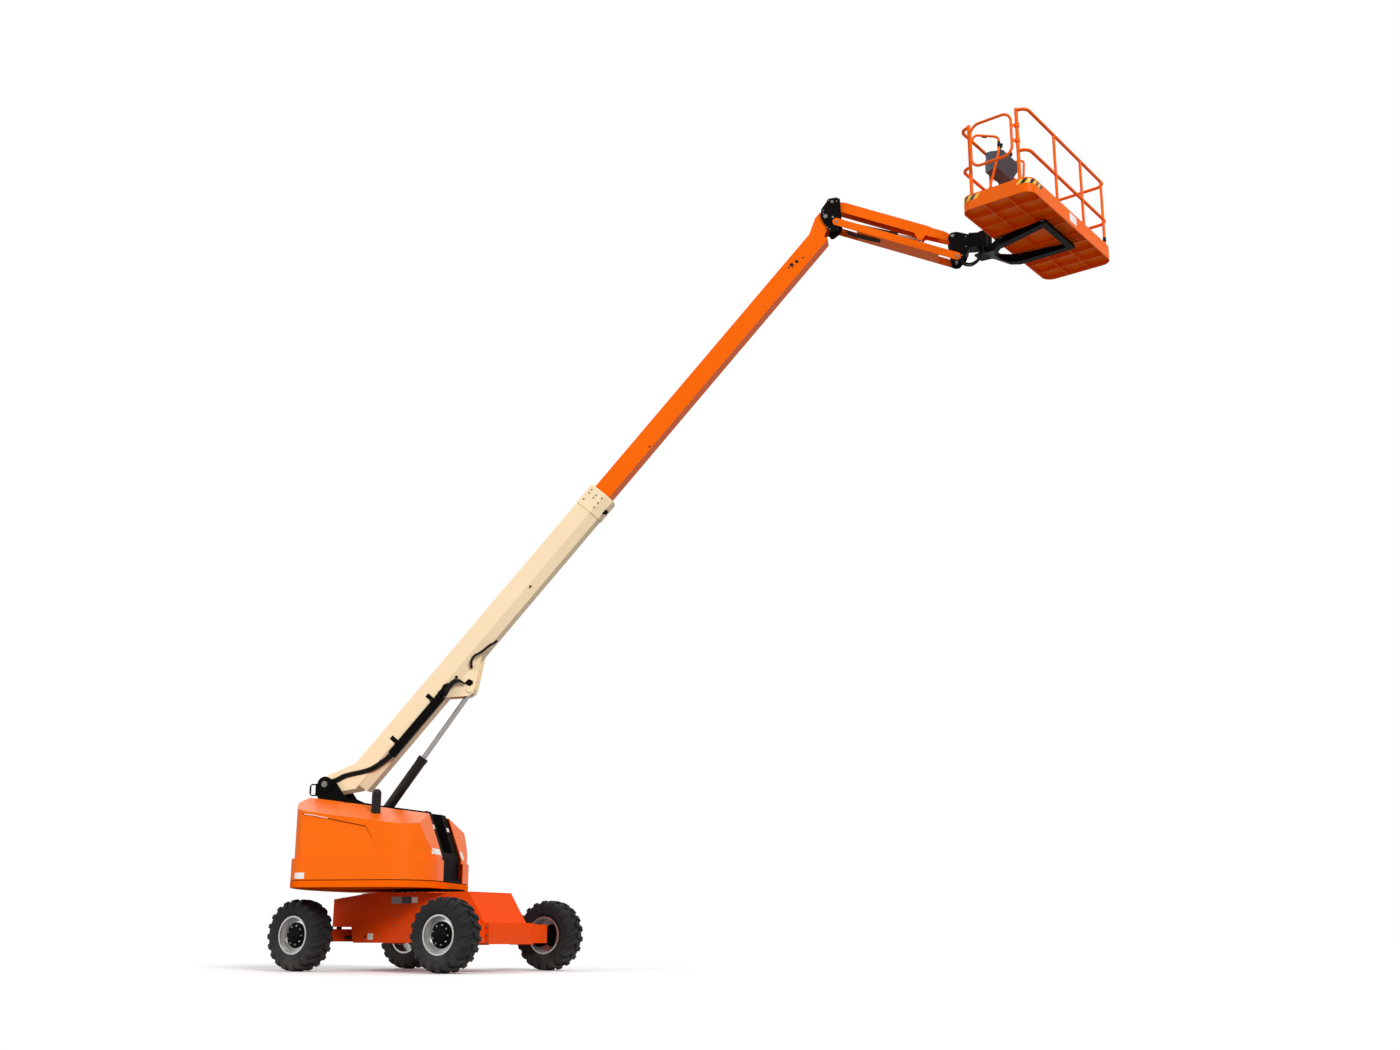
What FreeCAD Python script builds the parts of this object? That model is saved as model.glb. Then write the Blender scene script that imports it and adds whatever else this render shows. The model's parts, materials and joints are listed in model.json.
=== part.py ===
import FreeCAD, Part
import math
import os
from FreeCAD import Placement, Rotation, Vector

# Self-propelled telescopic boom lift with a jib, all sizes in millimetres.
# It is built about its swing axis: +X runs from the steer axle to the drive axle, +Z is up.
# The finished model is moved so that the origin lies under the middle of its bounding box.

# ---- stance -------------------------------------------------------------
wheelbase = 2230.0
track = 1980.0
tyre_radius = 419.0
tyre_width = 310.0
rim_radius = 212.0
rim_width = 262.0
rim_wall = 7.0
hub_radius = 92.0
wheel_disc_inset = 62.0
hub_depth = 86.0
running_gap = 0.3
pin_gap = 0.08
moving_gap = 6.0

# ---- chassis ------------------------------------------------------------
frame_half_width = 400.0
frame_top = 914.0
frame_floor = 330.0
frame_plate = 12.0
frame_steer_end = -1170.0
frame_notch_end = -860.0
frame_notch_top = 520.0
frame_drive_end = 1190.0
frame_slope_start = 960.0
frame_nose_height = 560.0
bearing_plate_half = 560.0
bearing_radius = 430.0
bearing_bore = 330.0
bearing_height = 46.0
axle_height = 244.0
axle_depth = 320.0
axle_half = 780.0
steer_beam_height = 150.0
steer_beam_depth = 120.0
kingpin_offset = 200.0
kingpin_radius = 24.0
knuckle_half_height = 70.0
steer_arm = 170.0
tie_rod_radius = 17.0
spindle_radius = 42.0

tie_hole_radius = 20.0
tie_holes = {
    "tie_down_steer_left": (-640.0, 394.0, 400.0),
    "tie_down_steer_right": (-640.0, -394.0, 400.0),
    "tie_down_drive_left": (640.0, 394.0, 400.0),
    "tie_down_drive_right": (640.0, -394.0, 400.0),
}

# ---- turntable ----------------------------------------------------------
swing_yaw = 22.5
deck_plate = 12.0
deck_half_width = 1100.0
deck_tail = 1560.0
deck_tail_corner = 1360.0
deck_front = 300.0
deck_side_front = -270.0
deck_front_flat = 600.0
skirt_height = 75.0
skirt_wall = 8.0
slot_half_width = 395.0
hood_wall = 6.0
hinge_radius = 13.0
hinge_length = 90.0
hinge_places = (-960.0, -300.0)
hood_gap = 10.0
belt_top = 1290.0
belt_proud = 24.0
roof_ridge = 2030.0
roof_ridge_s = -1200.0
roof_fall_forward = 0.138
roof_fall_outward = 0.28
hood_lean_from = 1340.0
hood_front_lean = 0.36
hood_tail_lean = 0.07
hood_edge_radius = 70.0
hood_crease = [(-1620.0, 1850.0), (-1105.0, 1795.0), (-448.0, 1660.0), (-352.0, 1515.0), (-332.0, 1310.0)]
side_recess_lean = 0.045
tail_recess_lean = 0.15
counterweight_depth = 290.0
counterweight_wing_top = 1250.0
counterweight_top = 1690.0
upright_inner = 195.0
upright_plate = 20.0
cowl_top = 1885.0
engine_length = 560.0
engine_width = 430.0
engine_height = 500.0
stack_radius = 56.0
stack_height = 285.0

# ---- boom ---------------------------------------------------------------
pivot_s = -1320.0
pivot_z = 2240.0
pivot_pin_radius = 38.0
boom_angle = 50.0
boom_drop = 100.0
fly_height = 240.0
fly_width = 200.0
fly_wall = 7.0
fly_drop = 30.0
pad_space = 37.0
base_wall = 8.0
base_height = fly_height + fly_drop + 60.0
base_width = fly_width + 2 * (pad_space + base_wall)
base_chamfer_across = 62.0
base_chamfer_up = 114.0
base_rear = 260.0
base_mouth = 5016.0
fly_rear = 4300.0
fly_tip = 9460.0
tip_pivot_x = 9677.0
tip_pivot_drop = 156.0

# ---- lift cylinder ------------------------------------------------------
lift_base_s = -1018.0
lift_base_z = 1321.0
lift_eye_x = 2030.0
lift_eye_drop = 600.0
lift_barrel_radius = 62.0
lift_barrel_length = 1530.0
lift_rod_radius = 32.0
lift_eye_radius = 42.0
lug_inner = 70.0
lift_bore_start = 120.0
lift_rod_start = 970.0

# ---- jib ----------------------------------------------------------------
jib_angle = -21.1
jib_length = 1640.0
jib_pin_x = 140.0
jib_pin_z = -80.0
jib_spread_x = -50.0
jib_spread_z = 285.0
jib_lower_height = 100.0
jib_upper_height = 140.0
jib_upper_half = 72.0
jib_plate = 8.0
knuckle_plate = 16.0
jib_lower_half = fly_width / 2 + 2 * moving_gap + knuckle_plate + jib_plate
jib_pin_radius = 20.0
jib_base_pin_radius = 14.0
jib_neck_x = 1330.0
jib_lug_x = 1245.0
jib_lug_drop = 115.0
jib_cylinder_x = 95.0
jib_cylinder_z = -5.0
jib_barrel_radius = 34.0
jib_barrel_length = 870.0
jib_rod_radius = 16.0

# ---- platform -----------------------------------------------------------
platform_yaw = -29.8
platform_length = 2440.0
platform_width = 930.0
platform_reach = 750.0
platform_floor_z = 8940.0
rotator_s = 7054.0
skirt = 190.0
floor_plate = 3.0
floor_web = 5.0
toe_wall = 3.0
toe_corner = 140.0
floor_rib = 60.0
rib_stations = (0.164, 0.218, 0.271, 0.325, 0.55, 0.775, 1.0)
carrier_wall = 6.0
clamp_places = [(376, -292), (376, 292), (992, -395), (992, 395)]
console_near = -660.0
console_far = -220.0
guard_places = [(-870.0, -700.0), (10.0, 10.0)]
rail_height = 1100.0
mid_rail_height = 560.0
rail_radius = 20.0
post_radius = 18.0
gate_post_radius = 22.0
guard_radius = 15.0
rail_inset = 30.0
gate_post_inset = 120.0
rail_bend = 110.0
gate_offset = 46.0


def block(x0, x1, y0, y1, z0, z1):
    """A box between two limits on each axis."""
    return Part.makeBox(x1 - x0, y1 - y0, z1 - z0, Vector(x0, y0, z0))


def rod(radius, start, end):
    """A round bar from one point to another."""
    axis = Vector(*end) - Vector(*start)
    return Part.makeCylinder(radius, axis.Length, Vector(*start), axis)


def tube(outer, inner, start, end):
    return rod(outer, start, end).cut(rod(inner, start, end))


def face_of(points):
    corners = [Vector(*p) for p in points]
    return Part.Face(Part.makePolygon(corners + corners[:1]))


def side_prism(outline, y0, y1):
    """An outline in the X-Z plane, pushed from y0 to y1."""
    return face_of([(x, y0, z) for x, z in outline]).extrude(Vector(0, y1 - y0, 0))


def plan_prism(outline, z0, z1):
    """An outline in the X-Y plane, pushed from z0 to z1."""
    return face_of([(x, y, z0) for x, y in outline]).extrude(Vector(0, 0, z1 - z0))


def end_prism(outline, x0, x1):
    """An outline in the Y-Z plane, pushed from x0 to x1."""
    return face_of([(x0, y, z) for y, z in outline]).extrude(Vector(x1 - x0, 0, 0))


def join(*shapes):
    """Several touching shapes as one solid, with the seams between them removed."""
    whole = shapes[0].multiFuse(list(shapes[1:])) if len(shapes) > 1 else shapes[0]
    return whole.removeSplitter()


def mirrored(shape):
    """The same shape on the other side of the X-Z plane."""
    return shape.mirror(Vector(0, 0, 0), Vector(0, 1, 0))


def both(shape):
    """A shape and its mirror image as separate solids."""
    return Part.makeCompound([shape, mirrored(shape)])


def bent_tube(points, radius, bend, closed=False):
    """A round bar that follows straight runs joined by arcs of one bend radius."""
    corners = [Vector(*p) for p in points]
    count = len(corners)
    ends = {}
    pieces = []
    for i in range(count) if closed else range(1, count - 1):
        here = corners[i]
        back = (corners[i - 1] - here).normalize()
        ahead = (corners[(i + 1) % count] - here).normalize()
        turn = math.pi - back.getAngle(ahead)
        reach = bend * math.tan(turn / 2)
        start, end = here + back * reach, here + ahead * reach
        centre = here + (back + ahead).normalize() * (bend / math.cos(turn / 2))
        disc = Part.Face(Part.Wire(Part.Circle(start, back, radius).toShape()))
        axis = (start - centre).cross(end - centre)
        pieces.append(disc.revolve(centre, axis, math.degrees(turn)))
        ends[i] = (start, end)
    for i in range(count if closed else count - 1):
        after = (i + 1) % count
        start = ends[i][1] if i in ends else corners[i]
        end = ends[after][0] if after in ends else corners[after]
        pieces.append(rod(radius, start, end))
    return pieces[0].multiFuse(pieces[1:])


# ---- frames -------------------------------------------------------------
def frame_at(x, y, z, axis=Vector(0, 0, 1), angle=0.0):
    return Placement(Vector(x, y, z), Rotation(axis, angle))


turning_up = Vector(0, -1, 0)
chassis_frame = frame_at(0, 0, 0)
turntable_frame = frame_at(0, 0, 0, angle=swing_yaw)
boom_frame = turntable_frame * frame_at(pivot_s, 0, pivot_z, turning_up, boom_angle)
tip_frame = boom_frame * frame_at(tip_pivot_x, 0, -tip_pivot_drop, turning_up, -boom_angle)


def lift_line():
    """Where the lift cylinder's rod eye is, its pin-to-pin length and its slope, in the turntable."""
    turn = math.radians(boom_angle)
    eye_s = pivot_s + lift_eye_x * math.cos(turn) + lift_eye_drop * math.sin(turn)
    eye_z = pivot_z + lift_eye_x * math.sin(turn) - lift_eye_drop * math.cos(turn)
    run, rise = eye_s - lift_base_s, eye_z - lift_base_z
    return math.hypot(run, rise), math.degrees(math.atan2(rise, run))


lift_length, lift_slope = lift_line()
lift_frame = turntable_frame * frame_at(lift_base_s, 0, lift_base_z, turning_up, lift_slope)
jib_lower_frame = tip_frame * frame_at(jib_pin_x, 0, jib_pin_z, turning_up, jib_angle)
jib_upper_frame = tip_frame * frame_at(
    jib_pin_x + jib_spread_x, 0, jib_pin_z + jib_spread_z, turning_up, jib_angle
)


def jib_cylinder_line():
    """Pin-to-pin length and slope of the jib cylinder at rest."""
    turn = math.radians(jib_angle)
    lug_x = jib_pin_x + jib_spread_x + jib_lug_x * math.cos(turn) + jib_lug_drop * math.sin(turn)
    lug_z = jib_pin_z + jib_spread_z + jib_lug_x * math.sin(turn) - jib_lug_drop * math.cos(turn)
    run, rise = lug_x - jib_cylinder_x, lug_z - jib_cylinder_z
    return math.hypot(run, rise), math.degrees(math.atan2(rise, run))


jib_cylinder_length, jib_cylinder_slope = jib_cylinder_line()
jib_cylinder_frame = tip_frame * frame_at(
    jib_cylinder_x, 0, jib_cylinder_z, turning_up, jib_cylinder_slope
)
jib_head_frame = tip_frame * frame_at(
    jib_pin_x + jib_length * math.cos(math.radians(jib_angle)),
    0,
    jib_pin_z + jib_length * math.sin(math.radians(jib_angle)),
)
platform_frame = turntable_frame * frame_at(rotator_s, 0, platform_floor_z, angle=platform_yaw)


# ---- wheels -------------------------------------------------------------
def turned(outline, centre_x=0.0, centre_z=0.0):
    """A solid of revolution about a wheel's axle, from (y, radius) points."""
    profile = face_of([(centre_x, y, centre_z + r) for y, r in outline])
    return profile.revolve(Vector(centre_x, 0, centre_z), Vector(0, 1, 0), 360)


def tyre():
    """Carcass with a flat tread, sloping shoulders and bulging walls, open where the rim seats."""
    half, bead = tyre_width / 2, rim_width / 2 - 12 - running_gap
    wall = 24.0
    right = [(bead, rim_radius), (bead, rim_radius + 16), (half, tyre_radius - 105),
             (half - 40, tyre_radius - 4), (half - 60, tyre_radius)]
    outside = right + [(-y, r) for y, r in reversed(right)]
    left = [(-bead + wall, rim_radius), (-half + wall + 6, rim_radius + 60),
            (-half + wall + 6, tyre_radius - 80)]
    inside = left + [(-y, r) for y, r in reversed(left)]
    return turned(outside + inside)


def rim():
    """Wheel rim with its dished disc and hub boss, outer side towards -Y."""
    half, seat = rim_width / 2, rim_radius - running_gap
    disc = -half + wheel_disc_inset
    outside = [(-half, seat + 13), (-half + 12, seat + 13), (-half + 12, seat), (half - 12, seat),
               (half - 12, seat + 13), (half, seat + 13)]
    inside = [
        (half, seat - rim_wall), (disc + 40, seat - rim_wall), (disc + 16, hub_radius + 30),
        (disc + 16, hub_radius), (disc + hub_depth, hub_radius - 14),
        (disc + hub_depth, spindle_radius + pin_gap), (disc + 10, spindle_radius + pin_gap),
        (disc + 10, 0), (disc - 34, 0),
        (disc - 34, 34), (disc - 12, 58), (disc, hub_radius + 24), (disc + 24, seat - rim_wall),
        (-half, seat - rim_wall),
    ]
    return turned(outside + inside)


wheel_places = {
    "steer_left": (-wheelbase / 2, track / 2, True),
    "steer_right": (-wheelbase / 2, -track / 2, False),
    "drive_left": (wheelbase / 2, track / 2, True),
    "drive_right": (wheelbase / 2, -track / 2, False),
}


def at_wheel(shape, place):
    """A wheel piece made with its outside towards -Y, set at one corner of the machine."""
    x, y, flipped = wheel_places[place]
    turned_piece = mirrored(shape) if flipped else shape.copy()
    turned_piece.translate(Vector(x, y, tyre_radius))
    return turned_piece


# ---- chassis ------------------------------------------------------------
def chassis_frame_box():
    """Welded box between the axles: open at the steer end, sloping down to the drive axle."""
    w, t = frame_half_width, frame_plate
    outline = [
        (frame_steer_end, frame_notch_top), (frame_notch_end, frame_notch_top),
        (frame_notch_end + 40, frame_floor), (frame_slope_start - 160, frame_floor),
        (frame_slope_start - 20, frame_nose_height), (frame_drive_end, frame_nose_height),
        (frame_slope_start, frame_top - t), (-740, frame_top - t), (frame_steer_end, frame_top - 62),
    ]
    inside = [
        (frame_steer_end - 1, frame_notch_top + t), (frame_notch_end + t, frame_notch_top + t),
        (frame_notch_end + 40 + t, frame_floor + t), (frame_slope_start - 160 - t / 2, frame_floor + t),
        (frame_slope_start - 20 - t / 2, frame_nose_height + t),
        (frame_drive_end - 2 * t, frame_nose_height + t),
        (frame_slope_start - t / 2, frame_top - 2 * t), (-738, frame_top - 2 * t),
        (frame_steer_end - 1, frame_top - 62 - t),
    ]
    box = side_prism(outline, -w, w)
    box = box.cut(side_prism(inside, -w + t, w - t))
    stiffener = block(-320, -320 + t, -w + 2, w - 2, frame_floor + 2, frame_top - 14)
    bulkhead = block(420, 420 + t, -w + 2, w - 2, frame_floor + 2, frame_top - 14)
    window = rod(150, (-400, 0, 600), (520, 0, 600))
    frame = join(box, stiffener.cut(window), bulkhead.cut(window))
    for x, y, z in tie_holes.values():
        frame = frame.cut(rod(tie_hole_radius, (x, y - t, z), (x, y + t, z)))
    return frame


def bearing_plate():
    """Top plate that carries the swing bearing, wider than the box under it."""
    h = bearing_plate_half
    outline = [
        (-740, -h + 180), (-h + 90, -h), (h - 180, -h), (h + 40, -frame_half_width),
        (frame_slope_start, -frame_half_width), (frame_slope_start, frame_half_width),
        (h + 40, frame_half_width), (h - 180, h), (-h + 90, h), (-740, h - 180),
    ]
    plate = plan_prism(outline, frame_top - frame_plate, frame_top)
    return plate.cut(rod(bearing_bore, (0, 0, frame_top - 40), (0, 0, frame_top + 40)))


def swing_bearing():
    return tube(bearing_radius, bearing_bore, (0, 0, frame_top),
                (0, 0, frame_top + bearing_height - running_gap))


def drive_axle():
    """Box beam under the nose, with flanged square tubes out to each wheel motor."""
    x = wheelbase / 2
    top = frame_nose_height
    beam = block(x - axle_depth / 2, x + axle_depth / 2, -410, 410, top - axle_height, top)
    ends = []
    for side in (-1, 1):
        y0, y1 = sorted((side * 410, side * 430))
        ends.append(block(x - axle_depth / 2 - 8, x + axle_depth / 2 + 8, y0, y1,
                          top - axle_height - 8, top))
        y0, y1 = sorted((side * 430, side * axle_half))
        ends.append(block(x - 110, x + 110, y0, y1, top - axle_height + 12, top - 14))
    return join(beam, *ends)


def wheel_motor(side):
    """Drive hub gearbox between the axle end and the wheel disc."""
    x, z = wheelbase / 2, tyre_radius
    hub_face = track / 2 + rim_width / 2 - wheel_disc_inset - hub_depth
    flange = rod(135, (x, side * axle_half, z), (x, side * (axle_half + 26), z))
    body = rod(108, (x, side * (axle_half + 26), z), (x, side * (hub_face - moving_gap), z))
    spindle = rod(spindle_radius, (x, side * (hub_face - 20), z), (x, side * (hub_face + 70), z))
    return join(flange, body, spindle)


def steer_beam():
    """Steer axle: box beam with a fork at each end for the kingpins."""
    x, z = -wheelbase / 2, tyre_radius
    d, h = steer_beam_depth / 2, steer_beam_height / 2
    king = track / 2 - kingpin_offset
    fork = knuckle_half_height + 2 * moving_gap
    beam = block(x - d, x + d, -king + 95, king - 95, z - h, z + h)
    pieces = [beam]
    for side in (-1, 1):
        y0, y1 = sorted((side * (king - 130), side * (king - 80)))
        pieces.append(block(x - d, x + d, y0, y1, z - fork - 22, z + fork + 22))
        y0, y1 = sorted((side * (king - 82), side * king))
        for low in (z - fork - 22, z + fork):
            pieces.append(block(x - d, x + d, y0, y1, low, low + 22))
            pieces.append(rod(d, (x, side * king, low), (x, side * king, low + 22)))
    beam = join(*pieces)
    for side in (-1, 1):
        beam = beam.cut(rod(kingpin_radius, (x, side * king, z - 200), (x, side * king, z + 200)))
    cradle = block(x - 50, x + 230, -70, 70, z + h - 1, frame_notch_top)
    return join(beam, cradle)


def kingpins():
    x, z = -wheelbase / 2, tyre_radius
    king = track / 2 - kingpin_offset
    reach = knuckle_half_height + 2 * moving_gap + 34
    pin = rod(kingpin_radius, (x, king, z - reach), (x, king, z + reach))
    return both(pin)


def knuckle(side):
    """Steering knuckle: kingpin barrel, spindle towards the wheel and an arm for the tie rod."""
    x, z = -wheelbase / 2, tyre_radius
    king = track / 2 - kingpin_offset
    half = knuckle_half_height
    barrel = rod(50, (x, king, z - half), (x, king, z + half))
    hub_face = track / 2 + rim_width / 2 - wheel_disc_inset - hub_depth
    spindle = rod(66, (x, king + 20, z), (x, hub_face - moving_gap, z))
    nose = rod(spindle_radius, (x, hub_face - 30, z), (x, hub_face + 70, z))
    arm = plan_prism(
        [(x + 20, king - 34), (x + 20, king + 34), (x - steer_arm, king + 25), (x - steer_arm, king - 25)],
        z - half, z - half + 22,
    )
    tip = rod(32, (x - steer_arm, king, z - half), (x - steer_arm, king, z - half + 22))
    whole = join(barrel, spindle, nose, arm, tip)
    whole = whole.cut(rod(kingpin_radius + pin_gap, (x, king, z - 200), (x, king, z + 200)))
    return whole if side > 0 else mirrored(whole)


def tie_rod():
    """Cross rod that links the two steering arms, with a ball end over each."""
    x = -wheelbase / 2 - steer_arm
    king = track / 2 - kingpin_offset
    seat = tyre_radius - knuckle_half_height + 22 + running_gap
    bar = rod(tie_rod_radius, (x, -king, seat + 24), (x, king, seat + 24))
    ends = [rod(30, (x, y, seat), (x, y, seat + 46)) for y in (-king, king)]
    return join(bar, *ends)


def steer_cylinder():
    """Through-rod steering cylinder on the steer beam, round the tie rod."""
    x = -wheelbase / 2 - steer_arm
    z = tyre_radius - knuckle_half_height + 22 + running_gap + 24
    barrel = tube(40, tie_rod_radius + 1, (x, -240, z), (x, 240, z))
    feet = []
    for y in (-200, 200):
        foot = block(x + 20, -wheelbase / 2 - steer_beam_depth / 2, y - 18, y + 18, z - 30, z + 30)
        feet.append(foot.cut(rod(36, (x, -260, z), (x, 260, z))))
    return join(barrel, *feet)


# ---- turntable ----------------------------------------------------------
def plan_outline(inset, z0, z1):
    """The turntable's plan: curved tail, straight sides and bowed front, as a solid."""
    w = deck_half_width - inset
    tail, corner = deck_tail - inset, deck_tail_corner - inset
    front, flat = deck_front - inset, deck_front_flat
    side = deck_side_front
    round_y = w - 100
    quarter = math.sqrt(0.5)
    bow = (side + (front - side) * quarter, flat + (w - flat) * quarter)
    shoulder_x = -corner + 25
    shoulder = (shoulder_x + 55, w - 22)

    def arc(a, b, c):
        return Part.Arc(*[Vector(x, y, z0) for x, y in (a, b, c)]).toShape()

    def line(a, b):
        return Part.LineSegment(Vector(*a, z0), Vector(*b, z0)).toShape()

    def flip(p):
        return (p[0], -p[1])

    side_rear, side_fore = (shoulder_x + 130, w), (side, w)
    tail_end, nose = (-corner, round_y), (front, flat)
    edges = [
        line(flip(side_rear), flip(side_fore)),
        arc(flip(side_fore), flip(bow), flip(nose)),
        line(flip(nose), nose),
        arc(nose, bow, side_fore),
        line(side_fore, side_rear),
        arc(side_rear, shoulder, tail_end),
        arc(tail_end, (-tail, 0), flip(tail_end)),
        arc(flip(tail_end), flip(shoulder), flip(side_rear)),
    ]
    return Part.Face(Part.Wire(edges)).extrude(Vector(0, 0, z1 - z0))


deck_bottom = frame_top + bearing_height
deck_top = deck_bottom + deck_plate
skirt_top = deck_bottom + skirt_height
hood_bottom = skirt_top + hood_gap


def turntable_deck():
    """Base plate with a turned-up skirt all round, bored in the middle for the hoses."""
    tray = plan_outline(0, deck_bottom, skirt_top)
    tray = tray.cut(plan_outline(skirt_wall, deck_top, skirt_top + 1))
    return tray.cut(rod(140, (0, 0, 0), (0, 0, skirt_top)))


def roof_plane(inset):
    """Everything above the hood's sloping roof on the right-hand side."""
    def height(s, t):
        fall = (s - roof_ridge_s) * roof_fall_forward + (abs(t) - slot_half_width) * roof_fall_outward
        return roof_ridge - inset - fall

    corners = [(-1900, 0), (600, 0), (600, -1400), (-1900, -1400)]
    face = face_of([(s, t, height(s, t)) for s, t in corners])
    return face.extrude(Vector(0, 0, 1500))


def hood_upper(inset):
    """Filled form of the hood above its belt, with its long roof edges rounded over."""
    form = plan_outline(belt_proud + inset, belt_top - inset - 1, roof_ridge + 100)
    rise = roof_ridge + 200 - hood_lean_from
    front = deck_front - belt_proud - inset
    nose = side_prism([(front, hood_lean_from), (front + 900, hood_lean_from),
                       (front + 900, hood_lean_from + rise),
                       (front - rise * hood_front_lean, hood_lean_from + rise)], -1300, 1300)
    back = -deck_tail + belt_proud + inset
    tail = side_prism([(back, hood_lean_from), (back - 900, hood_lean_from),
                       (back - 900, hood_lean_from + rise),
                       (back + rise * hood_tail_lean, hood_lean_from + rise)], -1300, 1300)
    keep = block(-1900, 600, -1300, -slot_half_width, 0, 2500)
    form = form.cut(nose).cut(tail).cut(roof_plane(inset)).common(keep).Solids[0]
    roof = max(form.Faces, key=lambda face: face.CenterOfMass.z)
    rim_edges = [edge for edge in roof.Edges if abs(edge.CenterOfMass.y + slot_half_width) > 1]
    return form.makeFillet(hood_edge_radius - inset, rim_edges)


def hood_panel_recess(inset):
    """Set-back walls below the roof band: outside this leaning pyramid, under the crease line."""
    side = deck_half_width - belt_proud - inset
    back = -deck_tail + belt_proud + inset
    height = roof_ridge - belt_top
    far = 1500
    below = side_prism([(-far - 300, hood_crease[0][1] - inset)]
                       + [(s, z - inset) for s, z in hood_crease]
                       + [(hood_crease[-1][0], belt_top - inset), (-far - 300, belt_top - inset)], -far, 0)
    low, high = belt_top - inset, belt_top - inset + height
    tail_face = side_prism([(back, low), (far, low), (far, high),
                            (back + height * tail_recess_lean, high)], -far, 0)
    side_face = end_prism([(-side, low), (0, low), (0, high),
                           (-side + height * side_recess_lean, high)], back - 1, far)
    inner = tail_face.common(side_face)
    return below.cut(inner)


def hood_body(inset):
    """One hood as a filled form; two of these, one inside the other, make its shell."""
    keep = block(-1900, 600, -1300, -slot_half_width, 0, 2500)
    belt = plan_outline(inset, hood_bottom - 40 * (inset > 0), belt_top - inset).common(keep)
    upper = hood_upper(inset).cut(hood_panel_recess(inset))
    return belt.fuse(upper).removeSplitter()


def hood_axis_point(s):
    """A point on the right-hand hood's hinge line, along its inner roof edge."""
    return Vector(s, -slot_half_width, roof_ridge - (s - roof_ridge_s) * roof_fall_forward)


def hinge_barrel(s, radius):
    half = hinge_length / 2
    start, end = hood_axis_point(s - half), hood_axis_point(s + half)
    return rod(radius, (start.x, start.y, start.z), (end.x, end.y, end.z))


def hood_shell():
    """Right-hand hood: roof, side, nose and tail in one shell, open towards the boom."""
    shell = hood_body(0).cut(hood_body(hood_wall))
    for s in hinge_places:
        shell = shell.cut(hinge_barrel(s, hinge_radius + running_gap))
    return shell


def hood_hinges():
    """Arms out from one boom side plate, each ending in a hinge barrel for the hood."""
    arms = []
    for s in hinge_places:
        top = hood_axis_point(s).z
        inner = -upright_inner - upright_plate
        arm = end_prism([(inner, top - 26), (inner, top - 90), (-slot_half_width + 6, top - 30),
                         (-slot_half_width - 4, top - 8), (-slot_half_width + 8, top - 4)], s - 20, s + 20)
        arms.append(join(arm, hinge_barrel(s, hinge_radius)))
    return arms


def counterweight():
    """Cast tail weight: low wings under the hoods and a tall block between them."""
    def tail_slice(inset, half, z0, z1, depth):
        body = plan_outline(inset, z0, z1)
        return body.common(block(-deck_tail, -deck_tail + depth, -half, half, z0, z1))

    wings = tail_slice(40, 1000, deck_top + running_gap, counterweight_wing_top, 400)
    tower = tail_slice(30, slot_half_width - 12, deck_top + running_gap, counterweight_top,
                       counterweight_depth - 60)
    return join(wings, tower)


def nose_line(back):
    """Points up the front of the turntable, a distance behind the hoods' leaning noses."""
    front = deck_front - belt_proud - back
    return [(front, deck_top + running_gap), (front, hood_lean_from),
            (front - (cowl_top - hood_lean_from) * hood_front_lean, cowl_top)]


def upright_outline():
    """Side plate that carries the boom: low at the front, an ear round the pivot pin behind."""
    return nose_line(46) + [
        (-560, 1968), (-900, 2022), (-1060, 2090), (-1190, 2270), (-1270, 2300), (-1390, 2300),
        (-1440, 2230), (-1440, 2130), (-1210, 1740), (-1150, 1300), (-1150, deck_top + running_gap),
    ]


def tail_eye():
    """Rounded lifting eye behind the ear, in line with its plate."""
    s0, s1, z0, z1, corner, rim_bar = -1520, -1420, 2098, 2248, 26, 16
    outline = [(s1, z0), (s0 + corner, z0), (s0, z0 + corner), (s0, z1 - corner), (s0 + corner, z1), (s1, z1)]
    eye = side_prism(outline, upright_inner, upright_inner + upright_plate)
    hole = block(s0 + rim_bar, -1444, upright_inner - 1, upright_inner + upright_plate + 1,
                 z0 + rim_bar, z1 - rim_bar)
    return eye.cut(hole)


def uprights():
    """The two boom side plates, tied by cross tubes, bored for the boom and cylinder pins."""
    plate = side_prism(upright_outline(), upright_inner, upright_inner + upright_plate)
    boss = rod(95, (pivot_s, upright_inner, pivot_z), (pivot_s, upright_inner + 40, pivot_z))
    lug = rod(80, (lift_base_s, upright_inner - 60, lift_base_z),
              (lift_base_s, upright_inner + 10, lift_base_z))
    side = join(plate, boss, lug, tail_eye())
    ties = [rod(38, (x, -upright_inner - 5, z), (x, upright_inner + 5, z))
            for x, z in ((-1100, 1120), (-160, 1120))]
    whole = join(side, mirrored(side), *ties)
    for s, z, r in ((pivot_s, pivot_z, pivot_pin_radius), (lift_base_s, lift_base_z, 30)):
        whole = whole.cut(rod(r, (s, -400, z), (s, 400, z)))
    return whole


def pivot_pin():
    pin = rod(pivot_pin_radius, (pivot_s, -upright_inner - 52, pivot_z),
              (pivot_s, upright_inner + 52, pivot_z))
    return pin


def lift_base_pin():
    return rod(30, (lift_base_s, -upright_inner - 22, lift_base_z),
               (lift_base_s, upright_inner + 22, lift_base_z))


def front_cowl():
    """Black cover between the hoods, notched at the top where the boom comes down."""
    outer, inner = nose_line(30), nose_line(44)
    outline = outer + [(inner[2][0], cowl_top)] + inner[1::-1]
    half = slot_half_width - 10
    cover = side_prism(outline, -half, half)
    foot = side_prism([(outer[0][0] - 6, hood_bottom - 4), (deck_front - 2, hood_bottom - 4),
                       (deck_front - 2, hood_bottom + 20), (outer[0][0] - 6, hood_bottom + 70)], -half, half)
    opening = upright_inner - 3
    notch = block(-600, 600, -opening, opening, 1400, 2000)
    return join(cover.cut(notch), foot)


def engine_block():
    return block(-960, -960 + engine_length, -970, -970 + engine_width,
                 deck_top + running_gap, deck_top + engine_height)


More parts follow.
